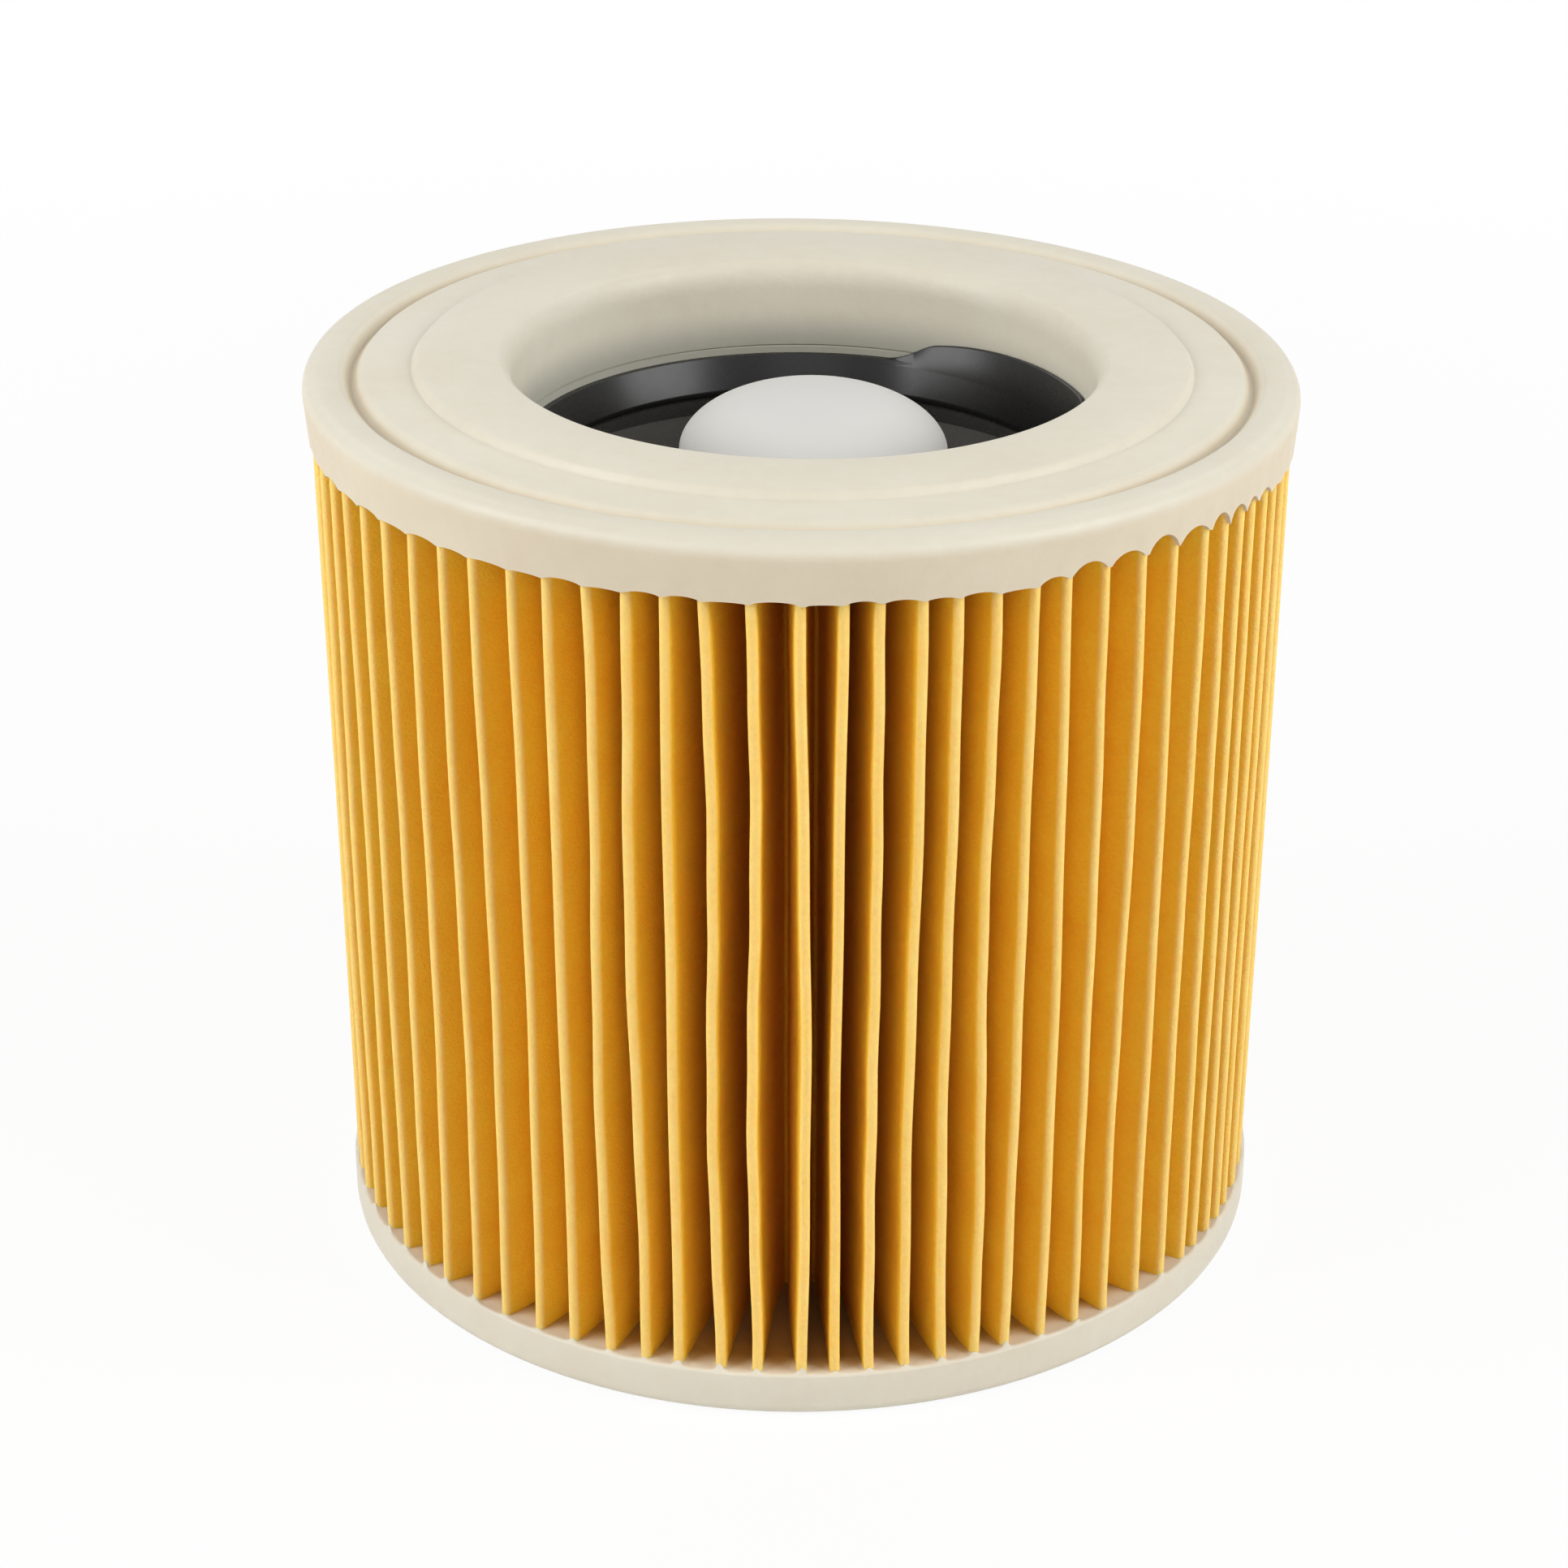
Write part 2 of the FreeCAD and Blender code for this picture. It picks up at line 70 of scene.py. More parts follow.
PAPER_INNER, PAPER_OUTER = node_radii("pleated_media")
OPENING_RADIUS = node_radii("top_end_cap")[0]
BOTTOM_RADIUS = node_radii("bottom_end_cap")[1]
CAGE_RADIUS = node_radii("support_cage")[1]

# Top cap
CAP_RADIUS = 58.48 * MM
RIM_FACE = SEALING_FACE - 1.0 * MM
CAP_DRAFT = 0.5 * MM
GROOVE_OUTER = 54.3 * MM
GROOVE_INNER = 51.2 * MM
GROOVE_DEPTH = 1.3 * MM
RING_OUTER = 45.4 * MM
RING_SHOULDER = 0.5 * MM
RIM_ROUNDING = 2.0 * MM
OPENING_ROUNDING = 1.6 * MM
OPENING_FALL = 3.4 * MM
CURVE_STEPS = 10
WALL_ROWS = 5
WALL_TOP_MARGIN = 1.15
CAP_SMOOTHING = 50
CAP_INNER_ROWS = (PAPER_INNER + 3 * MM, PAPER_OUTER - 6 * MM, PAPER_OUTER - 1.5 * MM)

# Arches of the top cap's lower edge: their heights, the least share of each height, and where they are high
LOW_ARCH = 0.6 * MM
LOW_ARCH_LEAST = 0.3
HIGH_ARCH = 2.9 * MM
HIGH_ARCH_LEAST = 0.65
ARCH_MIDDLE = math.radians(46)
ARCH_REACH = math.radians(20)
ARCH_ROUNDNESS = 0.5
ARCH_FADE = 5.0 * MM

# Lip over the cage's ledge
LIP_HEIGHT = 0.8 * MM
LIP_REACH = 0.12 * MM
LIP_GAP = 0.25 * MM

# Folded paper
FOLD_COUNT = 74
CAP_STEPS = FOLD_COUNT * 10
PAPER_THICKNESS = 0.6 * MM
OUTER_BEND = 0.3 * MM
INNER_BEND = 0.55 * MM
TIP_STEPS = 6
FLANK_STEPS = 4
VALLEY_STEPS = 4
COLUMNS_PER_FOLD = TIP_STEPS + VALLEY_STEPS + 2 * FLANK_STEPS
PAPER_ROWS = 26
POTTING_DEPTH = 3.5 * MM
PAPER_SMOOTHING = 60

# How the folds are gathered: shifts and the azimuths where they start, turn, end or fade
CROWD_LEFT = math.radians(0.95)
CROWD_TURN = math.radians(36)
CROWD_END = math.radians(56)
CROWD_RIGHT = math.radians(4.3)
CROWD_RIGHT_END = math.radians(75)
CROWD_FAR = math.radians(9)
CROWD_FAR_START = math.radians(52)
CROWD_FAR_END = math.radians(82)
CROWD_FAR_FADE = math.radians(172)
TIGHT_SPACING = 0.55

# How the folds wander: shares of the even spacing, turns up the height, and depths in millimetres
SHIFT_SHARE = 0.04
LEAN_SHARE = 0.16
WAVE_SHARES = (0.015, 0.065)
WAVE_TURNS = (0.5, 1.5)
FLUTTER_SHARE = 0.012
FLUTTER_TURNS = 4.3
LARGEST_SINK_MM = 0.15
LARGEST_BOW_MM = 0.35
RIPPLE = 0.05 * MM
RIPPLE_TURN = 5.1

# Support cage
CAGE_WALL = 1.8 * MM
THROAT_RADIUS = 31.7 * MM
LEAD_IN_RADIUS = 33.4 * MM
LEAD_IN_DEPTH = 3.8 * MM
THROAT_HEIGHT = 0.5 * MM
CAGE_ROUNDING = 0.15 * MM
CAGE_SMOOTHING = 35
WINDOW_COLUMNS = 16
WINDOW_STEPS = 8
RIB_STEPS = 4
WINDOW_LOW = CAGE_FLOOR_TOP + 4.0 * MM
WINDOW_HEIGHT = 18.0 * MM
WINDOW_RIB = 4.0 * MM
WINDOW_ROWS = 3
LOCATOR_RADIUS = 14.2 * MM
LOCATOR_WALL = 1.6 * MM
LOCATOR_HEIGHT = 2.0 * MM

# Bayonet wings
WING_OUTER = OPENING_RADIUS - 0.15 * MM
WING_EDGE = 0.5 * MM
WING_AZIMUTH = math.radians(35)
WING_SPAN = math.radians(78)
WING_RAMP = 9.6 * MM / LEAD_IN_RADIUS
WING_FOOT_REACH = 0.7 * MM
WING_LIFT = 0.5 * MM
WING_RISE = math.radians(13)
WING_FOOT = math.radians(13)
WING_ROOT = 0.5 * MM
WING_ROUNDING = 0.15 * MM
WING_STEPS = 76
SEAM = 0.02 * MM

# Bottom cap
FOOT_INNER = 44.0 * MM
FOOT_HEIGHT = 0.8 * MM
BOTTOM_ROUNDING = 1.6 * MM
BOTTOM_TOP_ROUNDING = 0.4 * MM
BOTTOM_ROWS = (PAPER_OUTER - 0.2 * MM, PAPER_OUTER - 1.2 * MM, PAPER_OUTER - 3 * MM, PAPER_INNER, 0)
BOTTOM_WALL_ROW = 0.6
CREEP_MM = (0.3, 1.5)
CREEP_REACH = 2 * MM
CREEP_SHARPNESS = 8

# Float
FLOAT_RADIUS = 16.0 * MM
FLOAT_WALL = 1.2 * MM
FLOAT_DOME_RISE = 7.5 * MM
FLOAT_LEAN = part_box("shutoff_float")[1].x - FLOAT_RADIUS
RIDGE_RISE = 27.0 * MM
RIDGE_HEIGHT = 2.0 * MM
RIDGE_DEPTH = 2.6 * MM
FLOAT_STEPS = 128
DOME_STEPS = 24
DOME_INNER_STEPS = 12
FLOAT_SMOOTHING = 40

# Camera: fitted to the photograph, 1932 by 1932 pixels
CAMERA_PLACE = Vector((0.0, -0.4009, 0.24731))
CAMERA_LENS = 81.47
CAMERA_SENSOR = 36
CAMERA_YAW = math.radians(-3.761)
CAMERA_PITCH = math.radians(28.021)
CAMERA_ROLL = math.radians(1.937)
CAMERA_SHIFT = (-0.1439, 0.0966)

# Tints of the cast polyurethane that paint shade and warm light, as shares of its colour
WARM_WALL_SHADE_TINT = (0.96, 0.89, 0.81, 1)
GROOVE_SHADE_TINT = (0.92, 0.85, 0.76, 1)
FOLD_FLOOR_SHADE_TINT = (0.62, 0.48, 0.23, 1)
OPENING_SHADE_TINT = (0.56, 0.59, 0.60, 1)

# Painted shade and amber bounce light on the paper deep in the folds, as a share of its colour
DEEP_FOLD_SHADE_TINT = (1.0, 0.78, 0.5, 1)

# Tint that makes the black plastic black above the throat, as a share of its colour; below the throat the
# paler grey is painted light inside the cage
BLACK_ABOVE_THROAT_TINT = (0.081, 0.081, 0.087, 1)

# Where the tints lie: the radii or heights between which each mask goes from 0 to 1
OVER_PAPER = (PAPER_TOP - 3 * MM, PAPER_TOP - 2 * MM)
UNDER_RIM = (RIM_FACE - 0.6 * MM, RIM_FACE - 2.2 * MM)
OUTER_WALL = (PAPER_OUTER - 1.5 * MM, PAPER_OUTER - 0.5 * MM)
GROOVE_INNER_SIDE = (GROOVE_INNER, GROOVE_INNER + 0.6 * MM)
GROOVE_OUTER_SIDE = (GROOVE_OUTER, GROOVE_OUTER - 0.6 * MM)
GROOVE_LOW = (RIM_FACE - 0.2 * MM, RIM_FACE - 0.9 * GROOVE_DEPTH)
INSIDE_FOLDS = (PAPER_OUTER - 1.0 * MM, PAPER_OUTER - 4.0 * MM)
AT_FOLD_FEET = (PAPER_FOOT + 2 * MM, PAPER_FOOT + 1.5 * MM)
OPENING_WALL = (OPENING_RADIUS + 2 * MM, OPENING_RADIUS + MM)
OPENING_LOW = (LEDGE + 6.5 * MM, LEDGE + 0.5 * MM)
ABOVE_THROAT = (LEDGE - LEAD_IN_DEPTH - 1.5 * MM, LEDGE - LEAD_IN_DEPTH - 0.5 * MM)
FOLD_CREST_HIGHLIGHT = (PAPER_OUTER - 1.05 * MM, PAPER_OUTER - 0.25 * MM)
DEEP_IN_FOLDS = (PAPER_OUTER - 5 * MM, PAPER_OUTER - 16 * MM)

# Light: name, place, width, height and watts of each softbox
LIGHT_TARGET = Vector((0, 0, 60 * MM))
SOFTBOXES = (
    ("left_softbox", (-0.73, -0.32, 0.55), 0.55, 0.55, 6.7),
    ("right_softbox", (0.73, -0.32, 0.55), 0.55, 0.55, 6.7),
    ("front_softbox", (0.0, -0.85, 0.45), 0.5, 0.5, 0.8),
    ("back_left_softbox", (-0.45, 0.62, 0.65), 0.5, 0.5, 1.4),
    ("back_right_softbox", (0.45, 0.62, 0.65), 0.5, 0.5, 1.4),
)
WORLD_STRENGTH = 0.06
FLOOR_GLOW = 0.92
FLOOR_NEAR = 0.15
FLOOR_FAR = 0.6


# Small modelling helpers

def start_piece(name):
    """Names the object that was just added and puts its place into its mesh."""
    piece = bpy.context.object
    piece.name = name
    piece.data.name = name
    bpy.ops.object.transform_apply(location=True, rotation=True, scale=True)
    return piece


def select_edges(piece, wanted):
    """Selects in edit mode the edges whose two ends both pass the test."""
    mesh = piece.data
    for item in (*mesh.vertices, *mesh.polygons):
        item.select = False
    for edge in mesh.edges:
        edge.select = all(wanted(mesh.vertices[i].co) for i in edge.vertices)
    bpy.ops.object.mode_set(mode="EDIT")
    bpy.ops.mesh.select_mode(type="EDGE")


def is_ring(radius, height):
    """A test of whether a point lies at a radius and height."""
    def test(point):
        return abs(math.hypot(point.x, point.y) - radius) < NEAR and abs(point.z - height) < NEAR
    return test


def bevel_ring(piece, radius, height, offset, segments):
    """Rounds the ring of edges at a radius and height."""
    select_edges(piece, is_ring(radius, height))
    bpy.ops.mesh.bevel(offset=offset, segments=segments, profile=0.5, affect="EDGES")
    bpy.ops.object.mode_set(mode="OBJECT")


def turned(name, section, steps, closed=True, angle=2 * math.pi):
    """Extrudes a point along a half section and spins it round the axis."""
    bpy.ops.object.select_all(action="DESELECT")
    points = [Vector((radius, 0, height)) for radius, height in section]
    bpy.ops.mesh.primitive_plane_add(size=MM, location=points[0])
    piece = start_piece(name)
    bpy.ops.object.mode_set(mode="EDIT")
    bpy.ops.mesh.select_mode(type="VERT")
    bpy.ops.mesh.select_all(action="SELECT")
    bpy.ops.mesh.merge(type="CENTER")
    path = points + points[:1] if closed else points
    for here, there in zip(path, path[1:]):
        bpy.ops.mesh.extrude_region_move(TRANSFORM_OT_translate={"value": there - here})
    bpy.ops.mesh.select_all(action="SELECT")
    bpy.ops.mesh.spin(steps=steps, angle=angle, center=(0, 0, 0), axis=(0, 0, 1))
    tidy_mesh()
    bpy.ops.object.mode_set(mode="OBJECT")
    return piece


def tidy_mesh():
    """Merges doubled points and turns the faces outwards, in edit mode."""
    bpy.ops.mesh.select_all(action="SELECT")
    bpy.ops.mesh.remove_doubles(threshold=0.001 * MM)
    bpy.ops.mesh.normals_make_consistent(inside=False)


def smooth(piece, degrees):
    bpy.ops.object.select_all(action="DESELECT")
    piece.select_set(True)
    bpy.context.view_layer.objects.active = piece
    bpy.ops.object.shade_smooth_by_angle(angle=math.radians(degrees))


def apply_modifier(piece, kind, **settings):
    modifier = piece.modifiers.new(kind.title(), kind)
    for key, value in settings.items():
        setattr(modifier, key, value)
    bpy.context.view_layer.objects.active = piece
    bpy.ops.object.modifier_apply(modifier=modifier.name)


def s_curve(share):
    """Eases a share from 0 to 1, level at both ends."""
    share = min(1.0, max(0.0, share))
    return share * share * (3 - 2 * share)


def front_azimuth(x, y):
    """Angle round the axis, 0 at the front and growing to the right."""
    return math.atan2(x, -y)


def at_azimuth(radius, azimuth, height):
    return Vector((radius * math.sin(azimuth), -radius * math.cos(azimuth), height))


# How the folds lie

def crowding(azimuth):
    """How far the unevenly gathered paper shifts a fold: the folds crowd right of the front and far right."""
    turn = (azimuth + math.pi) % (2 * math.pi) - math.pi
    if turn >= 0:
        near = CROWD_RIGHT * math.sin(math.pi * min(1, turn / CROWD_RIGHT_END))
        gathered = s_curve((turn - CROWD_FAR_START) / (CROWD_FAR_END - CROWD_FAR_START))
        spread = s_curve((turn - CROWD_FAR_END) / (CROWD_FAR_FADE - CROWD_FAR_END))
        return -near - CROWD_FAR * (gathered - spread)
    if turn >= -CROWD_TURN:
        return -CROWD_LEFT * math.cos(math.pi * turn / CROWD_TURN)
    if turn > -CROWD_END:
        return CROWD_LEFT * math.cos(math.pi / 2 * (turn + CROWD_TURN) / (CROWD_END - CROWD_TURN))
    return 0.0


def bow_share(azimuth):
    """How much of its bow a flank keeps: none where the folds are so tight that flanks would meet."""
    half = math.pi / FOLD_COUNT
    spacing = 1 + (crowding(azimuth + half) - crowding(azimuth - half)) / (2 * half)
    return min(1.0, max(0.0, (spacing - TIGHT_SPACING) / (1 - TIGHT_SPACING)))


class Folds:
    """Where each fold's tip and each valley lies, and how far the folds wander up the height."""

    def __init__(self):
        draw = random.Random(SEED)
        self.pitch = 2 * math.pi / FOLD_COUNT
        self.shift = [draw.uniform(-SHIFT_SHARE, SHIFT_SHARE) * self.pitch for _ in range(FOLD_COUNT)]
        self.lean = [draw.uniform(-LEAN_SHARE, LEAN_SHARE) * self.pitch for _ in range(FOLD_COUNT)]
        self.wave = [draw.uniform(*WAVE_SHARES) * self.pitch for _ in range(FOLD_COUNT)]
        self.turns = [draw.uniform(*WAVE_TURNS) for _ in range(FOLD_COUNT)]
        self.phase = [draw.uniform(0, 2 * math.pi) for _ in range(FOLD_COUNT)]
        self.sink = [draw.uniform(0, LARGEST_SINK_MM) * MM for _ in range(FOLD_COUNT)]
        self.bow = [draw.uniform(-LARGEST_BOW_MM, LARGEST_BOW_MM) * MM for _ in range(2 * FOLD_COUNT)]
        self.arch = [draw.uniform(0, 1) for _ in range(FOLD_COUNT)]

    def tip(self, fold, share):
        """Azimuth of a fold's tip at a share of the height."""
        fold %= FOLD_COUNT
        height = 2 * math.pi * share
        swing = self.wave[fold] * math.sin(self.turns[fold] * height + self.phase[fold])
        flutter_turn = FLUTTER_TURNS * self.turns[fold] * height + 3 * self.phase[fold]
        flutter = FLUTTER_SHARE * self.pitch * math.sin(flutter_turn)
        even = fold * self.pitch
        return even + crowding(even) + self.shift[fold] + self.lean[fold] * (share - 0.5) + swing + flutter

    def valley(self, fold, share):
        """Azimuth of the valley after a fold."""
        here, there = self.tip(fold, share), self.tip(fold + 1, share)
        if there < here:
            there += 2 * math.pi
        even = (fold + 0.5) * self.pitch
        return (here + there) / 4 + (even + crowding(even)) / 2

    def tip_radius(self, fold, share):
        """How far a fold's tip stands from the axis, to the middle of the paper."""
        ripple = RIPPLE * (1 + math.sin(RIPPLE_TURN * share + 2 * self.phase[fold]))
        return PAPER_OUTER - PAPER_THICKNESS / 2 - self.sink[fold] - ripple

    @functools.lru_cache
    def tips(self, share):
        return [self.tip(fold, share) for fold in range(FOLD_COUNT)]

    def gap(self, azimuth, share):
        """The fold before an azimuth, and how far the azimuth lies across the gap after it."""
        tips = self.tips(share)
        turn = azimuth % (2 * math.pi)
        after = bisect.bisect_right(tips, turn)
        fold = (after - 1) % FOLD_COUNT
        start = tips[fold] - (2 * math.pi if after == 0 else 0)
        end = tips[after % FOLD_COUNT] + (2 * math.pi if after == FOLD_COUNT else 0)
        return fold, min(1.0, (turn - start) / (end - start))


folds = Folds()


def along(azimuth):
    """Outward and sideways directions at an azimuth."""
    return at_azimuth(1, azimuth, 0), Vector((math.cos(azimuth), math.sin(azimuth), 0))


def paper_point(fold, step, share):
    """A point of the paper's middle surface, by its step across a fold and its share of the height."""
    tip_out, tip_side = along(folds.tip(fold, share))
    tip_centre = tip_out * (folds.tip_radius(fold, share) - OUTER_BEND)
    if step <= TIP_STEPS:
        turn = math.pi * (step / TIP_STEPS - 0.5)
        return tip_centre + tip_out * OUTER_BEND * math.cos(turn) + tip_side * OUTER_BEND * math.sin(turn)
    step -= TIP_STEPS
    valley_out, valley_side = along(folds.valley(fold, share))
    valley_centre = valley_out * (PAPER_INNER + PAPER_THICKNESS / 2 + INNER_BEND)
    if FLANK_STEPS <= step <= FLANK_STEPS + VALLEY_STEPS:
        turn = math.pi * ((step - FLANK_STEPS) / VALLEY_STEPS - 0.5)
        inward = valley_out * INNER_BEND * math.cos(turn)
        return valley_centre - inward + valley_side * INNER_BEND * math.sin(turn)
    if step < FLANK_STEPS:
        start = tip_centre + tip_side * OUTER_BEND
        end = valley_centre - valley_side * INNER_BEND
        part = step / FLANK_STEPS
        bow = folds.bow[2 * fold]
    else:
        next_out, next_side = along(folds.tip(fold + 1, share))
        next_radius = folds.tip_radius((fold + 1) % FOLD_COUNT, share)
        start = valley_centre + valley_side * INNER_BEND
        end = next_out * (next_radius - OUTER_BEND) - next_side * OUTER_BEND
        part = (step - FLANK_STEPS - VALLEY_STEPS) / FLANK_STEPS
        bow = folds.bow[2 * fold + 1]
    bow *= bow_share((fold + 0.5) * folds.pitch)
    return start.lerp(end, part) + valley_side * bow * 4 * part * (1 - part)


def make_paper():
    """A tube of paper, cut into rows, folded column by column and given its thickness."""
    columns = FOLD_COUNT * COLUMNS_PER_FOLD
    low, high = PAPER_FOOT - POTTING_DEPTH, PAPER_TOP + POTTING_DEPTH
    bpy.ops.object.select_all(action="DESELECT")
    bpy.ops.mesh.primitive_cylinder_add(
        vertices=columns, radius=PAPER_OUTER, depth=high - low, end_fill_type="NOTHING",
        location=(0, 0, (low + high) / 2))
    paper = start_piece("folded_paper")
    mesh = paper.data
    for item in (*mesh.vertices, *mesh.polygons):
        item.select = False
    for edge in mesh.edges:
        lower, upper = (mesh.vertices[i].co for i in edge.vertices)
        edge.select = abs(lower.z - upper.z) > MM
    bpy.ops.object.mode_set(mode="EDIT")
    bpy.ops.mesh.select_mode(type="EDGE")
    bpy.ops.mesh.subdivide(number_cuts=PAPER_ROWS - 1)
    bpy.ops.object.mode_set(mode="OBJECT")
    for vertex in mesh.vertices:
        share = (vertex.co.z - low) / (high - low)
        turn = front_azimuth(vertex.co.x, vertex.co.y) % (2 * math.pi)
        column = int(round(turn / (2 * math.pi) * columns)) % columns
        fold, step = divmod(column, COLUMNS_PER_FOLD)
        point = paper_point(fold, step, share)
        vertex.co = (point.x, point.y, vertex.co.z)
    bpy.ops.object.mode_set(mode="EDIT")
    tidy_mesh()
    bpy.ops.object.mode_set(mode="OBJECT")
    apply_modifier(paper, "SOLIDIFY", thickness=PAPER_THICKNESS, offset=0)
    smooth(paper, PAPER_SMOOTHING)
    return paper


# End caps

def arch_height(azimuth):
    """How far the cast edge rises between two folds: high arches at the right, low ones elsewhere."""
    fold, part = folds.gap(azimuth, 1.0)
    middle = folds.valley(fold, 1.0)
    off_right = (middle - ARCH_MIDDLE + math.pi) % (2 * math.pi) - math.pi
    right = max(0.0, 1 - (off_right / ARCH_REACH) ** 4)
    low = LOW_ARCH * (LOW_ARCH_LEAST + (1 - LOW_ARCH_LEAST) * folds.arch[fold])
    high = HIGH_ARCH * (HIGH_ARCH_LEAST + (1 - HIGH_ARCH_LEAST) * folds.arch[fold])
    return (low + (high - low) * right) * max(0.0, math.sin(math.pi * part)) ** ARCH_ROUNDNESS


def curved(start, end, bend):
    """Points from one place of a half section to another, with the height eased by a curve."""
    points = []
    for step in range(CURVE_STEPS + 1):
        share = step / CURVE_STEPS
        radius = start[0] + (end[0] - start[0]) * share
        points.append((radius, start[1] + (end[1] - start[1]) * bend(share)))
    return points


def quarter(start, end):
    """Points of a quarter ellipse that leaves its start level and comes to its end upright."""
    points = []
    for step in range(CURVE_STEPS + 1):
        turn = math.pi / 2 * step / CURVE_STEPS
        radius = start[0] + (end[0] - start[0]) * math.sin(turn)
        points.append((radius, end[1] + (start[1] - end[1]) * math.cos(turn)))
    return points


def make_top_cap():
    """A turned ring with a soft groove and a raised ring, whose lower edge arches between the folds."""
    foot = CAP_RADIUS - CAP_DRAFT
    rise = RIM_FACE - PAPER_TOP
    shares = [row * (1 - WALL_TOP_MARGIN * RIM_ROUNDING / rise) / WALL_ROWS for row in range(WALL_ROWS + 1)]
    wall = [(foot + CAP_DRAFT * share, PAPER_TOP + rise * share) for share in shares]
    groove_middle = ((GROOVE_OUTER + GROOVE_INNER) / 2, RIM_FACE - GROOVE_DEPTH)
    lip_top = LEDGE + LIP_HEIGHT
    opening_top = (OPENING_RADIUS + OPENING_ROUNDING, SEALING_FACE)
    ring_foot = (RING_OUTER + RING_SHOULDER, RIM_FACE)
    section = [
        (OPENING_RADIUS - LIP_REACH, LEDGE),
        (CAGE_RADIUS, LEDGE),
        (CAGE_RADIUS, PAPER_TOP),
        *((radius, PAPER_TOP) for radius in CAP_INNER_ROWS),
        *wall,
        (CAP_RADIUS, RIM_FACE),
        *curved((GROOVE_OUTER, RIM_FACE), groove_middle, s_curve),
        *curved(groove_middle, (GROOVE_INNER, RIM_FACE), s_curve)[1:],
        *curved(ring_foot, (RING_OUTER - RING_SHOULDER, SEALING_FACE), s_curve),
        *quarter(opening_top, (OPENING_RADIUS, SEALING_FACE - OPENING_FALL)),
        (OPENING_RADIUS, lip_top + LIP_GAP),
        (OPENING_RADIUS + LIP_GAP, lip_top + LIP_GAP / 2),
        (OPENING_RADIUS - LIP_REACH, lip_top),
    ]
    cap = turned("cast_top_cap", section, CAP_STEPS)
    bevel_ring(cap, CAP_RADIUS, RIM_FACE, RIM_ROUNDING, 6)
    for vertex in cap.data.vertices:
        radius = math.hypot(vertex.co.x, vertex.co.y)
        if radius > PAPER_INNER + 2 * MM and vertex.co.z < PAPER_TOP + ARCH_FADE:
            fade = 1 - (vertex.co.z - PAPER_TOP) / ARCH_FADE
            vertex.co.z += arch_height(front_azimuth(vertex.co.x, vertex.co.y)) * fade
    smooth(cap, CAP_SMOOTHING)
    return cap


def make_bottom_cap():
    """A turned disc whose upper edge creeps up a little at every fold."""
    section = [
        (0, FOOT_HEIGHT),
        (FOOT_INNER, FOOT_HEIGHT),
        (FOOT_INNER, 0),
        (BOTTOM_RADIUS, 0),
        (BOTTOM_RADIUS, PAPER_FOOT * BOTTOM_WALL_ROW),
        (BOTTOM_RADIUS, PAPER_FOOT),
        *((radius, PAPER_FOOT) for radius in BOTTOM_ROWS),
    ]
    cap = turned("cast_bottom_cap", section, CAP_STEPS)
    bevel_ring(cap, BOTTOM_RADIUS, 0, BOTTOM_ROUNDING, 5)
    bevel_ring(cap, BOTTOM_RADIUS, PAPER_FOOT, BOTTOM_TOP_ROUNDING, 3)
    draw = random.Random(SEED + 1)
    creep = [draw.uniform(*CREEP_MM) * MM for _ in range(FOLD_COUNT)]
    for vertex in cap.data.vertices:
        radius = math.hypot(vertex.co.x, vertex.co.y)
        on_top = abs(vertex.co.z - PAPER_FOOT) < NEAR
        if on_top and radius > PAPER_OUTER - CREEP_REACH:
            azimuth = front_azimuth(vertex.co.x, vertex.co.y)
            fold, part = folds.gap(azimuth, 0.0)
            near = fold if part < 0.5 else (fold + 1) % FOLD_COUNT
            closeness = abs(2 * part - 1)
            vertex.co.z += creep[near] * closeness ** CREEP_SHARPNESS
    smooth(cap, CAP_SMOOTHING)
    return cap


# Support cage

def off_wing_middle(azimuth):
    """Angle from the middle of the nearer bayonet wing."""
    from_x = azimuth - math.pi / 2
    return (from_x - WING_AZIMUTH + math.pi / 2) % math.pi - math.pi / 2


def wing_share(azimuth):
    """0 off a bayonet wing and 1 on its top: it rises steeply, then ever more slowly, and ends in a ramp."""
    from_start = max(0.0, WING_SPAN / 2 - off_wing_middle(azimuth))
    to_end = WING_SPAN / 2 + off_wing_middle(azimuth)
    rise = (1 - math.exp(-from_start / WING_RISE)) * s_curve(from_start / WING_FOOT)
    return rise * s_curve(to_end / WING_RAMP)


def lead_in_edge(azimuth):
    """Radius of the lead-in's upper edge, which comes inwards to carry a wing."""
    return LEAD_IN_RADIUS - WING_FOOT_REACH * wing_share(azimuth)


def window_levels():
    """Lower and upper edge of each row of windows."""
    step = WINDOW_HEIGHT + WINDOW_RIB
    return [(WINDOW_LOW + row * step, WINDOW_LOW + row * step + WINDOW_HEIGHT) for row in range(WINDOW_ROWS)]


def cut_windows(cage):
    """Opens each window by bridging its patch of the outer wall to its patch of the inner wall."""
    steps = WINDOW_STEPS + RIB_STEPS
    half_window = math.pi * WINDOW_STEPS / (WINDOW_COLUMNS * steps)
    for column in range(WINDOW_COLUMNS):
        middle = 2 * math.pi * column / WINDOW_COLUMNS
        for low, high in window_levels():
            mesh = cage.data
            for item in (*mesh.vertices, *mesh.edges):
                item.select = False
            for face in mesh.polygons:
                x, y, z = face.center
                off = (front_azimuth(x, y) - middle + math.pi) % (2 * math.pi) - math.pi
                on_wall = math.hypot(x, y) > CAGE_RADIUS - CAGE_WALL - 0.1 * MM
                face.select = on_wall and low < z < high and abs(off) < half_window
            bpy.ops.object.mode_set(mode="EDIT")
            bpy.ops.mesh.select_mode(type="FACE")
            bpy.ops.mesh.bridge_edge_loops()
            bpy.ops.object.mode_set(mode="OBJECT")


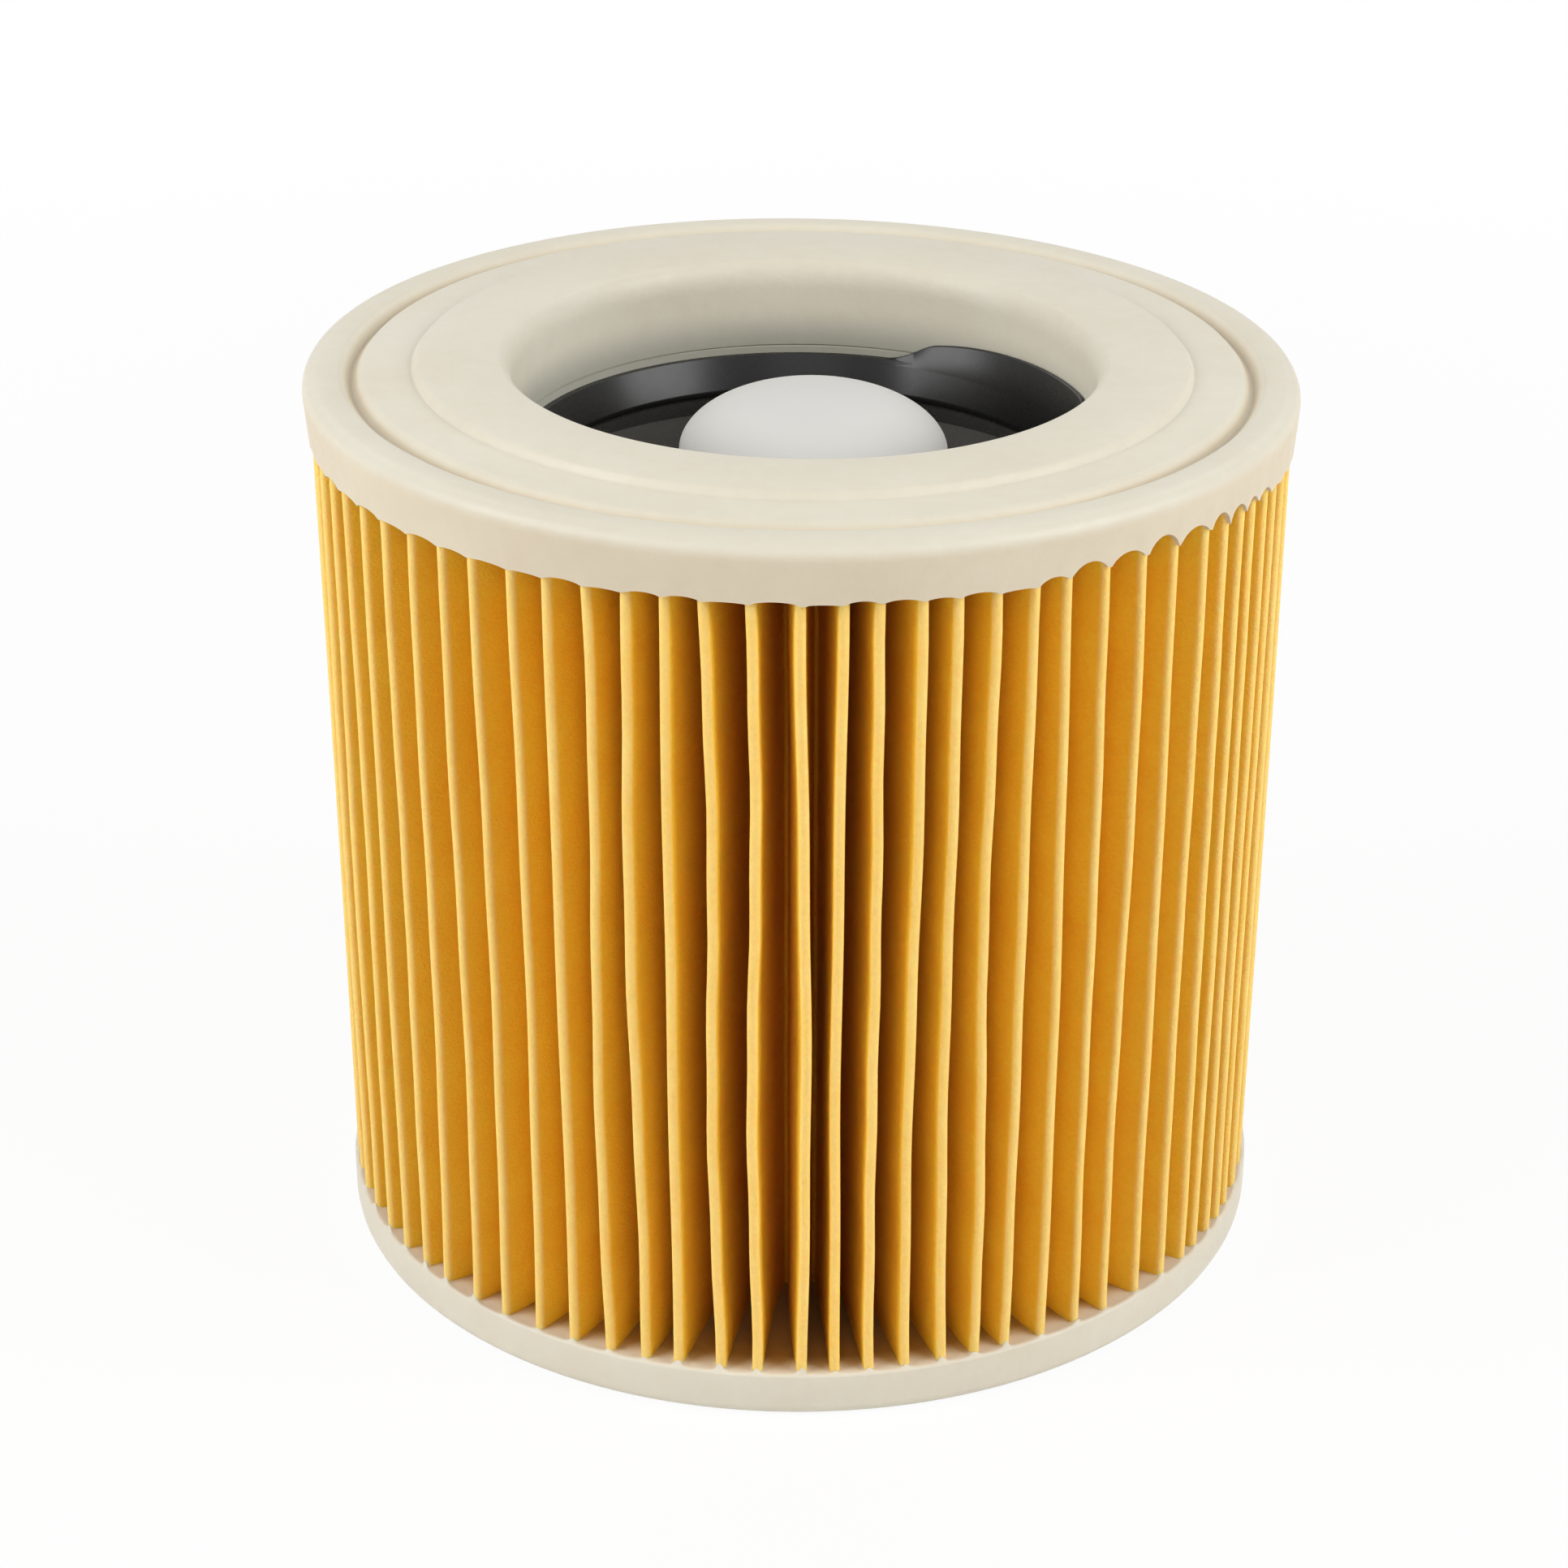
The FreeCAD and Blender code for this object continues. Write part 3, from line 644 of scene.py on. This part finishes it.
def add_wing(turn):
    """One bayonet wing: a thin wall that goes on from the lead-in, with a rising top."""
    root = LEDGE - WING_ROOT
    inner_top = WING_OUTER - WING_EDGE
    inner_root = LEAD_IN_RADIUS
    wing = turned("bayonet_wing", [
        (WING_OUTER, root),
        (WING_OUTER, WING_TOP),
        (inner_top, WING_TOP),
        (inner_root, root),
    ], WING_STEPS, angle=WING_SPAN)
    select_edges(wing, lambda point: abs(point.z - WING_TOP) < NEAR)
    bpy.ops.mesh.bevel(offset=WING_ROUNDING, segments=2, profile=0.5, affect="EDGES")
    bpy.ops.mesh.select_all(action="SELECT")
    bpy.ops.mesh.fill_holes(sides=0)
    tidy_mesh()
    bpy.ops.object.mode_set(mode="OBJECT")
    wing.rotation_euler.z = WING_AZIMUTH + WING_SPAN / 2 + turn
    bpy.ops.object.transform_apply(rotation=True)
    for vertex in wing.data.vertices:
        azimuth = front_azimuth(vertex.co.x, vertex.co.y)
        radius = math.hypot(vertex.co.x, vertex.co.y)
        rise = (vertex.co.z - root) / (WING_TOP - root)
        height = root + rise * (WING_ROOT + (WING_TOP + WING_LIFT - LEDGE) * wing_share(azimuth))
        if radius < inner_top + WING_ROUNDING:
            edge = lead_in_edge(azimuth)
            foot = edge - (edge - THROAT_RADIUS) * WING_ROOT / LEAD_IN_DEPTH - SEAM
            radius += (foot - inner_root) * (1 - rise)
        vertex.co = at_azimuth(radius, azimuth, height)
    return wing


def make_cage():
    """A turned tube with a floor, a lead-in and a throat, cut through by rows of windows, with two wings."""
    inner = CAGE_RADIUS - CAGE_WALL
    throat_top = LEDGE - LEAD_IN_DEPTH
    throat_low = throat_top - THROAT_HEIGHT
    locator_top = CAGE_FLOOR_TOP + LOCATOR_HEIGHT
    levels = [level for pair in window_levels() for level in pair]
    cage = turned("windowed_cage", [
        (0, PAPER_FOOT),
        (CAGE_RADIUS, PAPER_FOOT),
        *((CAGE_RADIUS, level) for level in levels),
        (CAGE_RADIUS, LEDGE),
        (LEAD_IN_RADIUS, LEDGE),
        (THROAT_RADIUS, throat_top),
        (THROAT_RADIUS, throat_low),
        (inner, throat_low - (inner - THROAT_RADIUS)),
        *((inner, level) for level in reversed(levels)),
        (inner, CAGE_FLOOR_TOP),
        (LOCATOR_RADIUS + LOCATOR_WALL, CAGE_FLOOR_TOP),
        (LOCATOR_RADIUS + LOCATOR_WALL, locator_top),
        (LOCATOR_RADIUS, locator_top),
        (LOCATOR_RADIUS, CAGE_FLOOR_TOP),
        (0, CAGE_FLOOR_TOP),
    ], WINDOW_COLUMNS * (WINDOW_STEPS + RIB_STEPS), closed=False)
    for vertex in cage.data.vertices:
        if is_ring(LEAD_IN_RADIUS, LEDGE)(vertex.co):
            azimuth = front_azimuth(vertex.co.x, vertex.co.y)
            vertex.co = at_azimuth(lead_in_edge(azimuth), azimuth, LEDGE)
    bevel_ring(cage, THROAT_RADIUS, throat_top, CAGE_ROUNDING, 3)
    bevel_ring(cage, THROAT_RADIUS, throat_low, CAGE_ROUNDING, 3)
    cut_windows(cage)
    wings = [add_wing(turn) for turn in (0, math.pi)]
    bpy.ops.object.select_all(action="DESELECT")
    for piece in (*wings, cage):
        piece.select_set(True)
    bpy.context.view_layer.objects.active = cage
    bpy.ops.object.join()
    smooth(cage, CAGE_SMOOTHING)
    return cage


# Float

def dome(radius, rise, foot, steps):
    """Points of an elliptical dome, from its foot to its top."""
    turns = [math.pi / 2 * step / steps for step in range(steps + 1)]
    return [(radius * math.cos(turn), foot + rise * math.sin(turn)) for turn in turns]


def make_float():
    """A hollow domed cup, turned in one piece, with a retaining ridge inside."""
    foot = FLOAT_TOP - FLOAT_DOME_RISE
    inner = FLOAT_RADIUS - FLOAT_WALL
    ridge_low = FLOAT_SEAT + RIDGE_RISE
    outside = dome(FLOAT_RADIUS, FLOAT_DOME_RISE, foot, DOME_STEPS)
    inside = dome(inner, FLOAT_DOME_RISE - FLOAT_WALL, foot, DOME_INNER_STEPS)
    cup = turned("domed_float", [
        *((max(radius, 0), height) for radius, height in reversed(outside)),
        (FLOAT_RADIUS, FLOAT_SEAT),
        (inner, FLOAT_SEAT),
        (inner, ridge_low),
        (inner - RIDGE_DEPTH, ridge_low),
        (inner - RIDGE_DEPTH, ridge_low + RIDGE_HEIGHT),
        (inner, ridge_low + RIDGE_HEIGHT),
        *inside,
    ], FLOAT_STEPS, closed=False)
    bevel_ring(cup, FLOAT_RADIUS, FLOAT_SEAT, FLOAT_WALL / 4, 2)
    bpy.ops.object.mode_set(mode="EDIT")
    bpy.ops.mesh.select_all(action="SELECT")
    bpy.ops.transform.translate(value=(FLOAT_LEAN, 0, 0))
    bpy.ops.object.mode_set(mode="OBJECT")
    smooth(cup, FLOAT_SMOOTHING)
    return cup


# Materials

def srgb(red, green, blue):
    """A colour written in 8-bit sRGB, as linear values."""
    def linear(level):
        share = level / 255
        return share / 12.92 if share <= 0.04045 else ((share + 0.055) / 1.055) ** 2.4
    return linear(red), linear(green), linear(blue), 1.0


def new_group(name, inputs, outputs):
    """An empty shader node group with named sockets."""
    group = bpy.data.node_groups.new(name, "ShaderNodeTree")
    for label, kind in inputs:
        group.interface.new_socket(label, in_out="INPUT", socket_type=f"NodeSocket{kind}")
    for label, kind in outputs:
        group.interface.new_socket(label, in_out="OUTPUT", socket_type=f"NodeSocket{kind}")
    return group, group.nodes.new("NodeGroupInput"), group.nodes.new("NodeGroupOutput")


def add_node(tree, kind, **settings):
    """Adds a node. Settings are its properties, and with a capital letter its inputs' values."""
    node = tree.nodes.new(f"ShaderNode{kind}")
    for key, value in settings.items():
        if key[0].isupper():
            node.inputs[key.replace("_", " ")].default_value = value
        else:
            setattr(node, key, value)
    return node


def join(tree, source, target):
    tree.links.new(source, target)


def make_mottle_group():
    """Cloudy and fine variation between two colours."""
    group, start, end = new_group(
        "mottled_colour",
        [("Place", "Vector"), ("Light", "Color"), ("Deep", "Color"), ("Cloud Scale", "Float"),
         ("Fine Scale", "Float"), ("Fine Share", "Float")],
        [("Colour", "Color")])
    clouds = add_node(group, "TexNoise", Detail=3.0, Roughness=0.55)
    fine = add_node(group, "TexNoise", Detail=4.0, Roughness=0.6)
    blend = add_node(group, "Mix")
    spread = add_node(group, "MapRange", From_Min=0.32, From_Max=0.68)
    colour = add_node(group, "Mix", data_type="RGBA")
    for noise, scale in ((clouds, "Cloud Scale"), (fine, "Fine Scale")):
        join(group, start.outputs["Place"], noise.inputs["Vector"])
        join(group, start.outputs[scale], noise.inputs["Scale"])
    join(group, start.outputs["Fine Share"], blend.inputs["Factor"])
    join(group, clouds.outputs["Fac"], blend.inputs["A"])
    join(group, fine.outputs["Fac"], blend.inputs["B"])
    join(group, blend.outputs["Result"], spread.inputs["Value"])
    join(group, spread.outputs["Result"], colour.inputs["Factor"])
    join(group, start.outputs["Light"], colour.inputs[6])
    join(group, start.outputs["Deep"], colour.inputs[7])
    join(group, colour.outputs[2], end.inputs["Colour"])
    return group


def make_surface_group():
    """Height of a moulded surface: slow waves under a fine grain."""
    group, start, end = new_group(
        "moulded_surface",
        [("Place", "Vector"), ("Wave Scale", "Float"), ("Grain Scale", "Float"), ("Grain Share", "Float")],
        [("Height", "Float"), ("Grain", "Float")])
    wave = add_node(group, "TexNoise", Detail=1.5, Roughness=0.4)
    grain = add_node(group, "TexNoise", Detail=2.0, Roughness=0.6)
    blend = add_node(group, "Mix")
    for noise, scale in ((wave, "Wave Scale"), (grain, "Grain Scale")):
        join(group, start.outputs["Place"], noise.inputs["Vector"])
        join(group, start.outputs[scale], noise.inputs["Scale"])
    join(group, start.outputs["Grain Share"], blend.inputs["Factor"])
    join(group, wave.outputs["Fac"], blend.inputs["A"])
    join(group, grain.outputs["Fac"], blend.inputs["B"])
    join(group, blend.outputs["Result"], end.inputs["Height"])
    join(group, grain.outputs["Fac"], end.inputs["Grain"])
    return group


def make_axis_group():
    """Distance of a point from the filter's axis, and its height."""
    group, start, end = new_group(
        "axis_place", [("Place", "Vector")], [("Radius", "Float"), ("Height", "Float")])
    flat = add_node(group, "VectorMath", operation="MULTIPLY")
    flat.inputs[1].default_value = (1, 1, 0)
    radius = add_node(group, "VectorMath", operation="LENGTH")
    parts = add_node(group, "SeparateXYZ")
    join(group, start.outputs["Place"], flat.inputs[0])
    join(group, start.outputs["Place"], parts.inputs["Vector"])
    join(group, flat.outputs["Vector"], radius.inputs[0])
    join(group, radius.outputs["Value"], end.inputs["Radius"])
    join(group, parts.outputs["Z"], end.inputs["Height"])
    return group


MOTTLE = make_mottle_group()
SURFACE = make_surface_group()
AXIS = make_axis_group()


def place_group(tree, group, place, **values):
    """Places a node group that reads the piece's own coordinates, with its own values."""
    node = tree.nodes.new("ShaderNodeGroup")
    node.node_tree = group
    join(tree, place, node.inputs["Place"])
    for key, value in values.items():
        node.inputs[key.replace("_", " ")].default_value = value
    return node


def new_material(name):
    """A material with its shader, and the place of each point on its piece."""
    material = bpy.data.materials.new(name)
    material.use_nodes = True
    tree = material.node_tree
    shader = tree.nodes["Principled BSDF"]
    place = add_node(tree, "TexCoord").outputs["Object"]
    return material, tree, shader, place


def add_bump(tree, shader, height, strength, distance):
    bump = add_node(tree, "Bump", Strength=strength, Distance=distance)
    join(tree, height, bump.inputs["Height"])
    join(tree, bump.outputs["Normal"], shader.inputs["Normal"])


def vary_roughness(tree, shader, mask, low, high):
    spread = add_node(tree, "MapRange", To_Min=low, To_Max=high)
    join(tree, mask, spread.inputs["Value"])
    join(tree, spread.outputs["Result"], shader.inputs["Roughness"])


def ramp(tree, value, start, end):
    """A mask that goes softly from 0 to 1 between two values."""
    node = add_node(tree, "MapRange", interpolation_type="SMOOTHSTEP", From_Min=start, From_Max=end)
    join(tree, value, node.inputs["Value"])
    return node.outputs["Result"]


def both(tree, first, second):
    """A mask that is 1 only where two masks are."""
    node = add_node(tree, "Math", operation="MULTIPLY")
    join(tree, first, node.inputs[0])
    join(tree, second, node.inputs[1])
    return node.outputs["Value"]


def tint(tree, colour, mask, tone):
    """Multiplies a colour by a tone where the mask is 1."""
    node = add_node(tree, "Mix", data_type="RGBA", blend_type="MULTIPLY")
    join(tree, mask, node.inputs["Factor"])
    join(tree, colour, node.inputs[6])
    node.inputs[7].default_value = tone
    return node.outputs[2]


def moulded_material(name, light, deep, roughness, mottle, surface, bump):
    """A mottled, slightly grained moulded surface, with its colour left open for tints."""
    material, tree, shader, place = new_material(name)
    colour = place_group(tree, MOTTLE, place, Light=light, Deep=deep, **mottle)
    relief = place_group(tree, SURFACE, place, **surface)
    join(tree, colour.outputs["Colour"], shader.inputs["Base Color"])
    vary_roughness(tree, shader, relief.outputs["Grain"], *roughness)
    add_bump(tree, shader, relief.outputs["Height"], *bump)
    return material, tree, shader, place, colour.outputs["Colour"]


def cast_polyurethane():
    """Cream casting with painted shade and warm light: warmer on the top cap's wall, darker in the groove,
    brown with amber bounce light between the folds, grey low in the opening.
    """
    material, tree, shader, place, colour = moulded_material(
        "cast_polyurethane", srgb(220, 215, 198), srgb(214, 206, 187), (0.42, 0.58),
        {"Cloud_Scale": 45.0, "Fine_Scale": 420.0, "Fine_Share": 0.35},
        {"Wave_Scale": 70.0, "Grain_Scale": 900.0, "Grain_Share": 0.3}, (0.25, 0.6 * MM))
    axis = place_group(tree, AXIS, place)
    radius, height = axis.outputs["Radius"], axis.outputs["Height"]
    over_paper = ramp(tree, height, *OVER_PAPER)
    wall = both(tree, both(tree, over_paper, ramp(tree, height, *UNDER_RIM)), ramp(tree, radius, *OUTER_WALL))
    groove_sides = both(tree, ramp(tree, radius, *GROOVE_INNER_SIDE), ramp(tree, radius, *GROOVE_OUTER_SIDE))
    in_groove = both(tree, groove_sides, ramp(tree, height, *GROOVE_LOW))
    between_folds = both(tree, ramp(tree, radius, *INSIDE_FOLDS), ramp(tree, height, *AT_FOLD_FEET))
    low_in_opening = both(tree, ramp(tree, radius, *OPENING_WALL), ramp(tree, height, *OPENING_LOW))
    # Painted shade and warm light: the top cap's wall darker and warmer than its top
    colour = tint(tree, colour, wall, WARM_WALL_SHADE_TINT)
    # Painted shade: darker inside the groove
    colour = tint(tree, colour, both(tree, in_groove, over_paper), GROOVE_SHADE_TINT)
    # Painted shade with amber bounce light: brown on the bottom cap between the folds
    colour = tint(tree, colour, between_folds, FOLD_FLOOR_SHADE_TINT)
    # Painted shade: grey low in the opening, above the cage's ledge
    colour = tint(tree, colour, low_in_opening, OPENING_SHADE_TINT)
    join(tree, colour, shader.inputs["Base Color"])
    return material


def black_plastic():
    """Satin black moulding, left a paler grey below the throat as painted light in the dark inside of the
    cage.
    """
    material, tree, shader, place, colour = moulded_material(
        "black_plastic", srgb(98, 96, 92), srgb(88, 87, 83), (0.24, 0.30),
        {"Cloud_Scale": 60.0, "Fine_Scale": 600.0, "Fine_Share": 0.2},
        {"Wave_Scale": 90.0, "Grain_Scale": 900.0, "Grain_Share": 0.15}, (0.08, 0.2 * MM))
    axis = place_group(tree, AXIS, place)
    # Painted light: below the throat the plastic keeps a paler grey
    black_above_throat = ramp(tree, axis.outputs["Height"], *ABOVE_THROAT)
    join(tree, tint(tree, colour, black_above_throat, BLACK_ABOVE_THROAT_TINT), shader.inputs["Base Color"])
    shader.inputs["Specular IOR Level"].default_value = 0.26
    return material


def white_plastic():
    """Satin white moulding."""
    material, _, shader, _, _ = moulded_material(
        "white_plastic", srgb(212, 211, 207), srgb(209, 208, 204), (0.5, 0.6),
        {"Cloud_Scale": 50.0, "Fine_Scale": 500.0, "Fine_Share": 0.1},
        {"Wave_Scale": 60.0, "Grain_Scale": 700.0, "Grain_Share": 0.0}, (0.03, 0.3 * MM))
    shader.inputs["Specular IOR Level"].default_value = 0.25
    return material


def filter_paper():
    """Amber resin-treated paper, paler and fibrous along the outer folds as a painted highlight, and redder
    deep inside them as painted shade and amber bounce light.
    """
    material, tree, shader, place = new_material("filter_paper")
    axis = place_group(tree, AXIS, place)
    # Painted highlight: the crest mask and the paler tip colour make the paper paler along the outer folds
    crest_highlight = ramp(tree, axis.outputs["Radius"], *FOLD_CREST_HIGHLIGHT)
    fibres = add_node(tree, "Mapping", Scale=(1, 1, 1.6))
    sheet = place_group(
        tree, MOTTLE, fibres.outputs["Vector"], Light=srgb(254, 204, 56), Deep=srgb(251, 186, 36),
        Cloud_Scale=90.0, Fine_Scale=1300.0, Fine_Share=0.5)
    tips = place_group(
        tree, MOTTLE, place, Light=srgb(252, 213, 128), Deep=srgb(249, 202, 106),
        Cloud_Scale=160.0, Fine_Scale=1500.0, Fine_Share=0.5)
    colour = add_node(tree, "Mix", data_type="RGBA")
    relief = place_group(tree, SURFACE, fibres.outputs["Vector"], Wave_Scale=240.0, Grain_Scale=2200.0,
                         Grain_Share=0.5)
    join(tree, place, fibres.inputs["Vector"])
    join(tree, crest_highlight, colour.inputs["Factor"])
    # Painted shade and amber bounce light: redder deep inside the folds
    deep = ramp(tree, axis.outputs["Radius"], *DEEP_IN_FOLDS)
    join(tree, tint(tree, sheet.outputs["Colour"], deep, DEEP_FOLD_SHADE_TINT), colour.inputs[6])
    join(tree, tips.outputs["Colour"], colour.inputs[7])
    join(tree, colour.outputs[2], shader.inputs["Base Color"])
    shader.inputs["Subsurface Weight"].default_value = 0.5
    shader.inputs["Subsurface Radius"].default_value = (1.5, 0.6, 0.1)
    shader.inputs["Subsurface Scale"].default_value = 1.0 * MM
    vary_roughness(tree, shader, relief.outputs["Grain"], 0.7, 0.95)
    add_bump(tree, shader, relief.outputs["Height"], 0.6, 0.4 * MM)
    return material


def light_path_share(tree):
    """1 for rays that see the background: from the camera, in gloss and through glass."""
    path = add_node(tree, "LightPath")
    seen = add_node(tree, "Math", operation="MAXIMUM")
    any_seen = add_node(tree, "Math", operation="MAXIMUM")
    join(tree, path.outputs["Is Camera Ray"], seen.inputs[0])
    join(tree, path.outputs["Is Glossy Ray"], seen.inputs[1])
    join(tree, seen.outputs["Value"], any_seen.inputs[0])
    join(tree, path.outputs["Is Transmission Ray"], any_seen.inputs[1])
    return any_seen.outputs["Value"]


def floor_material():
    """Pale matt floor that keeps a share of its shadows near the filter and shows white far from it."""
    material, tree, shader, place = new_material("pale_floor")
    shader.inputs["Base Color"].default_value = (0.86, 0.86, 0.86, 1)
    shader.inputs["Roughness"].default_value = 0.9
    shader.inputs["Specular IOR Level"].default_value = 0.1
    white = add_node(tree, "Emission", Color=(1, 1, 1, 1), Strength=1.0)
    glow = add_node(
        tree, "MapRange", interpolation_type="SMOOTHSTEP",
        From_Min=FLOOR_NEAR, From_Max=FLOOR_FAR, To_Min=FLOOR_GLOW, To_Max=1.0)
    blend = add_node(tree, "MixShader")
    join(tree, place_group(tree, AXIS, place).outputs["Radius"], glow.inputs["Value"])
    join(tree, both(tree, light_path_share(tree), glow.outputs["Result"]), blend.inputs["Fac"])
    join(tree, shader.outputs["BSDF"], blend.inputs[1])
    join(tree, white.outputs["Emission"], blend.inputs[2])
    join(tree, blend.outputs["Shader"], tree.nodes["Material Output"].inputs["Surface"])
    return material


# Stage, light and camera

def make_floor():
    bpy.ops.object.select_all(action="DESELECT")
    bpy.ops.mesh.primitive_plane_add(size=6, location=(0, 0, 0))
    floor = start_piece("pale_floor")
    floor.data.materials.append(floor_material())


def light_world():
    """Soft neutral surroundings that show as white."""
    world = bpy.data.worlds.new("studio")
    bpy.context.scene.world = world
    world.use_nodes = True
    tree = world.node_tree
    soft = tree.nodes["Background"]
    soft.inputs["Color"].default_value = (1, 1, 1, 1)
    soft.inputs["Strength"].default_value = WORLD_STRENGTH
    white = add_node(tree, "Background", Color=(1, 1, 1, 1), Strength=1.0)
    blend = add_node(tree, "MixShader")
    join(tree, light_path_share(tree), blend.inputs["Fac"])
    join(tree, soft.outputs["Background"], blend.inputs[1])
    join(tree, white.outputs["Background"], blend.inputs[2])
    join(tree, blend.outputs["Shader"], tree.nodes["World Output"].inputs["Surface"])


def add_softbox(name, place, width, height, power):
    """A rectangular lamp that faces the middle of the filter."""
    lamp = bpy.data.lights.new(name, "AREA")
    lamp.shape = "RECTANGLE"
    lamp.size = width
    lamp.size_y = height
    lamp.energy = power
    softbox = bpy.data.objects.new(name, lamp)
    softbox.location = place
    softbox.rotation_euler = (LIGHT_TARGET - Vector(place)).to_track_quat("-Z", "Y").to_euler()
    bpy.context.scene.collection.objects.link(softbox)


def add_camera():
    """A camera with the photograph's place, lens and turn."""
    camera = bpy.data.objects.new("camera", bpy.data.cameras.new("camera"))
    camera.data.lens = CAMERA_LENS
    camera.data.sensor_width = CAMERA_SENSOR
    camera.data.shift_x, camera.data.shift_y = CAMERA_SHIFT
    camera.data.clip_start = 0.01
    camera.data.clip_end = 20
    ahead = Vector((-math.sin(CAMERA_YAW), math.cos(CAMERA_YAW), 0))
    right = Vector((math.cos(CAMERA_YAW), math.sin(CAMERA_YAW), 0))
    forward = ahead * math.cos(CAMERA_PITCH) - Vector((0, 0, math.sin(CAMERA_PITCH)))
    up = ahead * math.sin(CAMERA_PITCH) + Vector((0, 0, math.cos(CAMERA_PITCH)))
    across = right * math.cos(CAMERA_ROLL) + up * math.sin(CAMERA_ROLL)
    upward = up * math.cos(CAMERA_ROLL) - right * math.sin(CAMERA_ROLL)
    turn = Matrix((across, upward, -forward)).transposed().to_4x4()
    camera.matrix_world = Matrix.Translation(CAMERA_PLACE) @ turn
    bpy.context.scene.collection.objects.link(camera)
    bpy.context.scene.camera = camera


def dress(piece, node, body, material):
    """Gives a piece its finish and puts it in the place of a solid."""
    piece.data.materials.clear()
    piece.data.materials.append(material)
    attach(piece, body)
    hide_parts(node)


def main():
    cream = cast_polyurethane()
    black = black_plastic()
    dress(make_top_cap(), "top_end_cap", "filter", cream)
    dress(make_bottom_cap(), "bottom_end_cap", "filter", cream)
    dress(make_paper(), "pleated_media", "filter", filter_paper())
    dress(make_cage(), "support_cage", "filter", black)
    dress(make_float(), "shutoff_float", "float", white_plastic())
    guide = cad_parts["float_guide"].data
    guide.materials.clear()
    guide.materials.append(black)
    make_floor()
    light_world()
    for softbox in SOFTBOXES:
        add_softbox(*softbox)
    add_camera()
    bpy.context.scene.view_settings.view_transform = "Standard"


main()
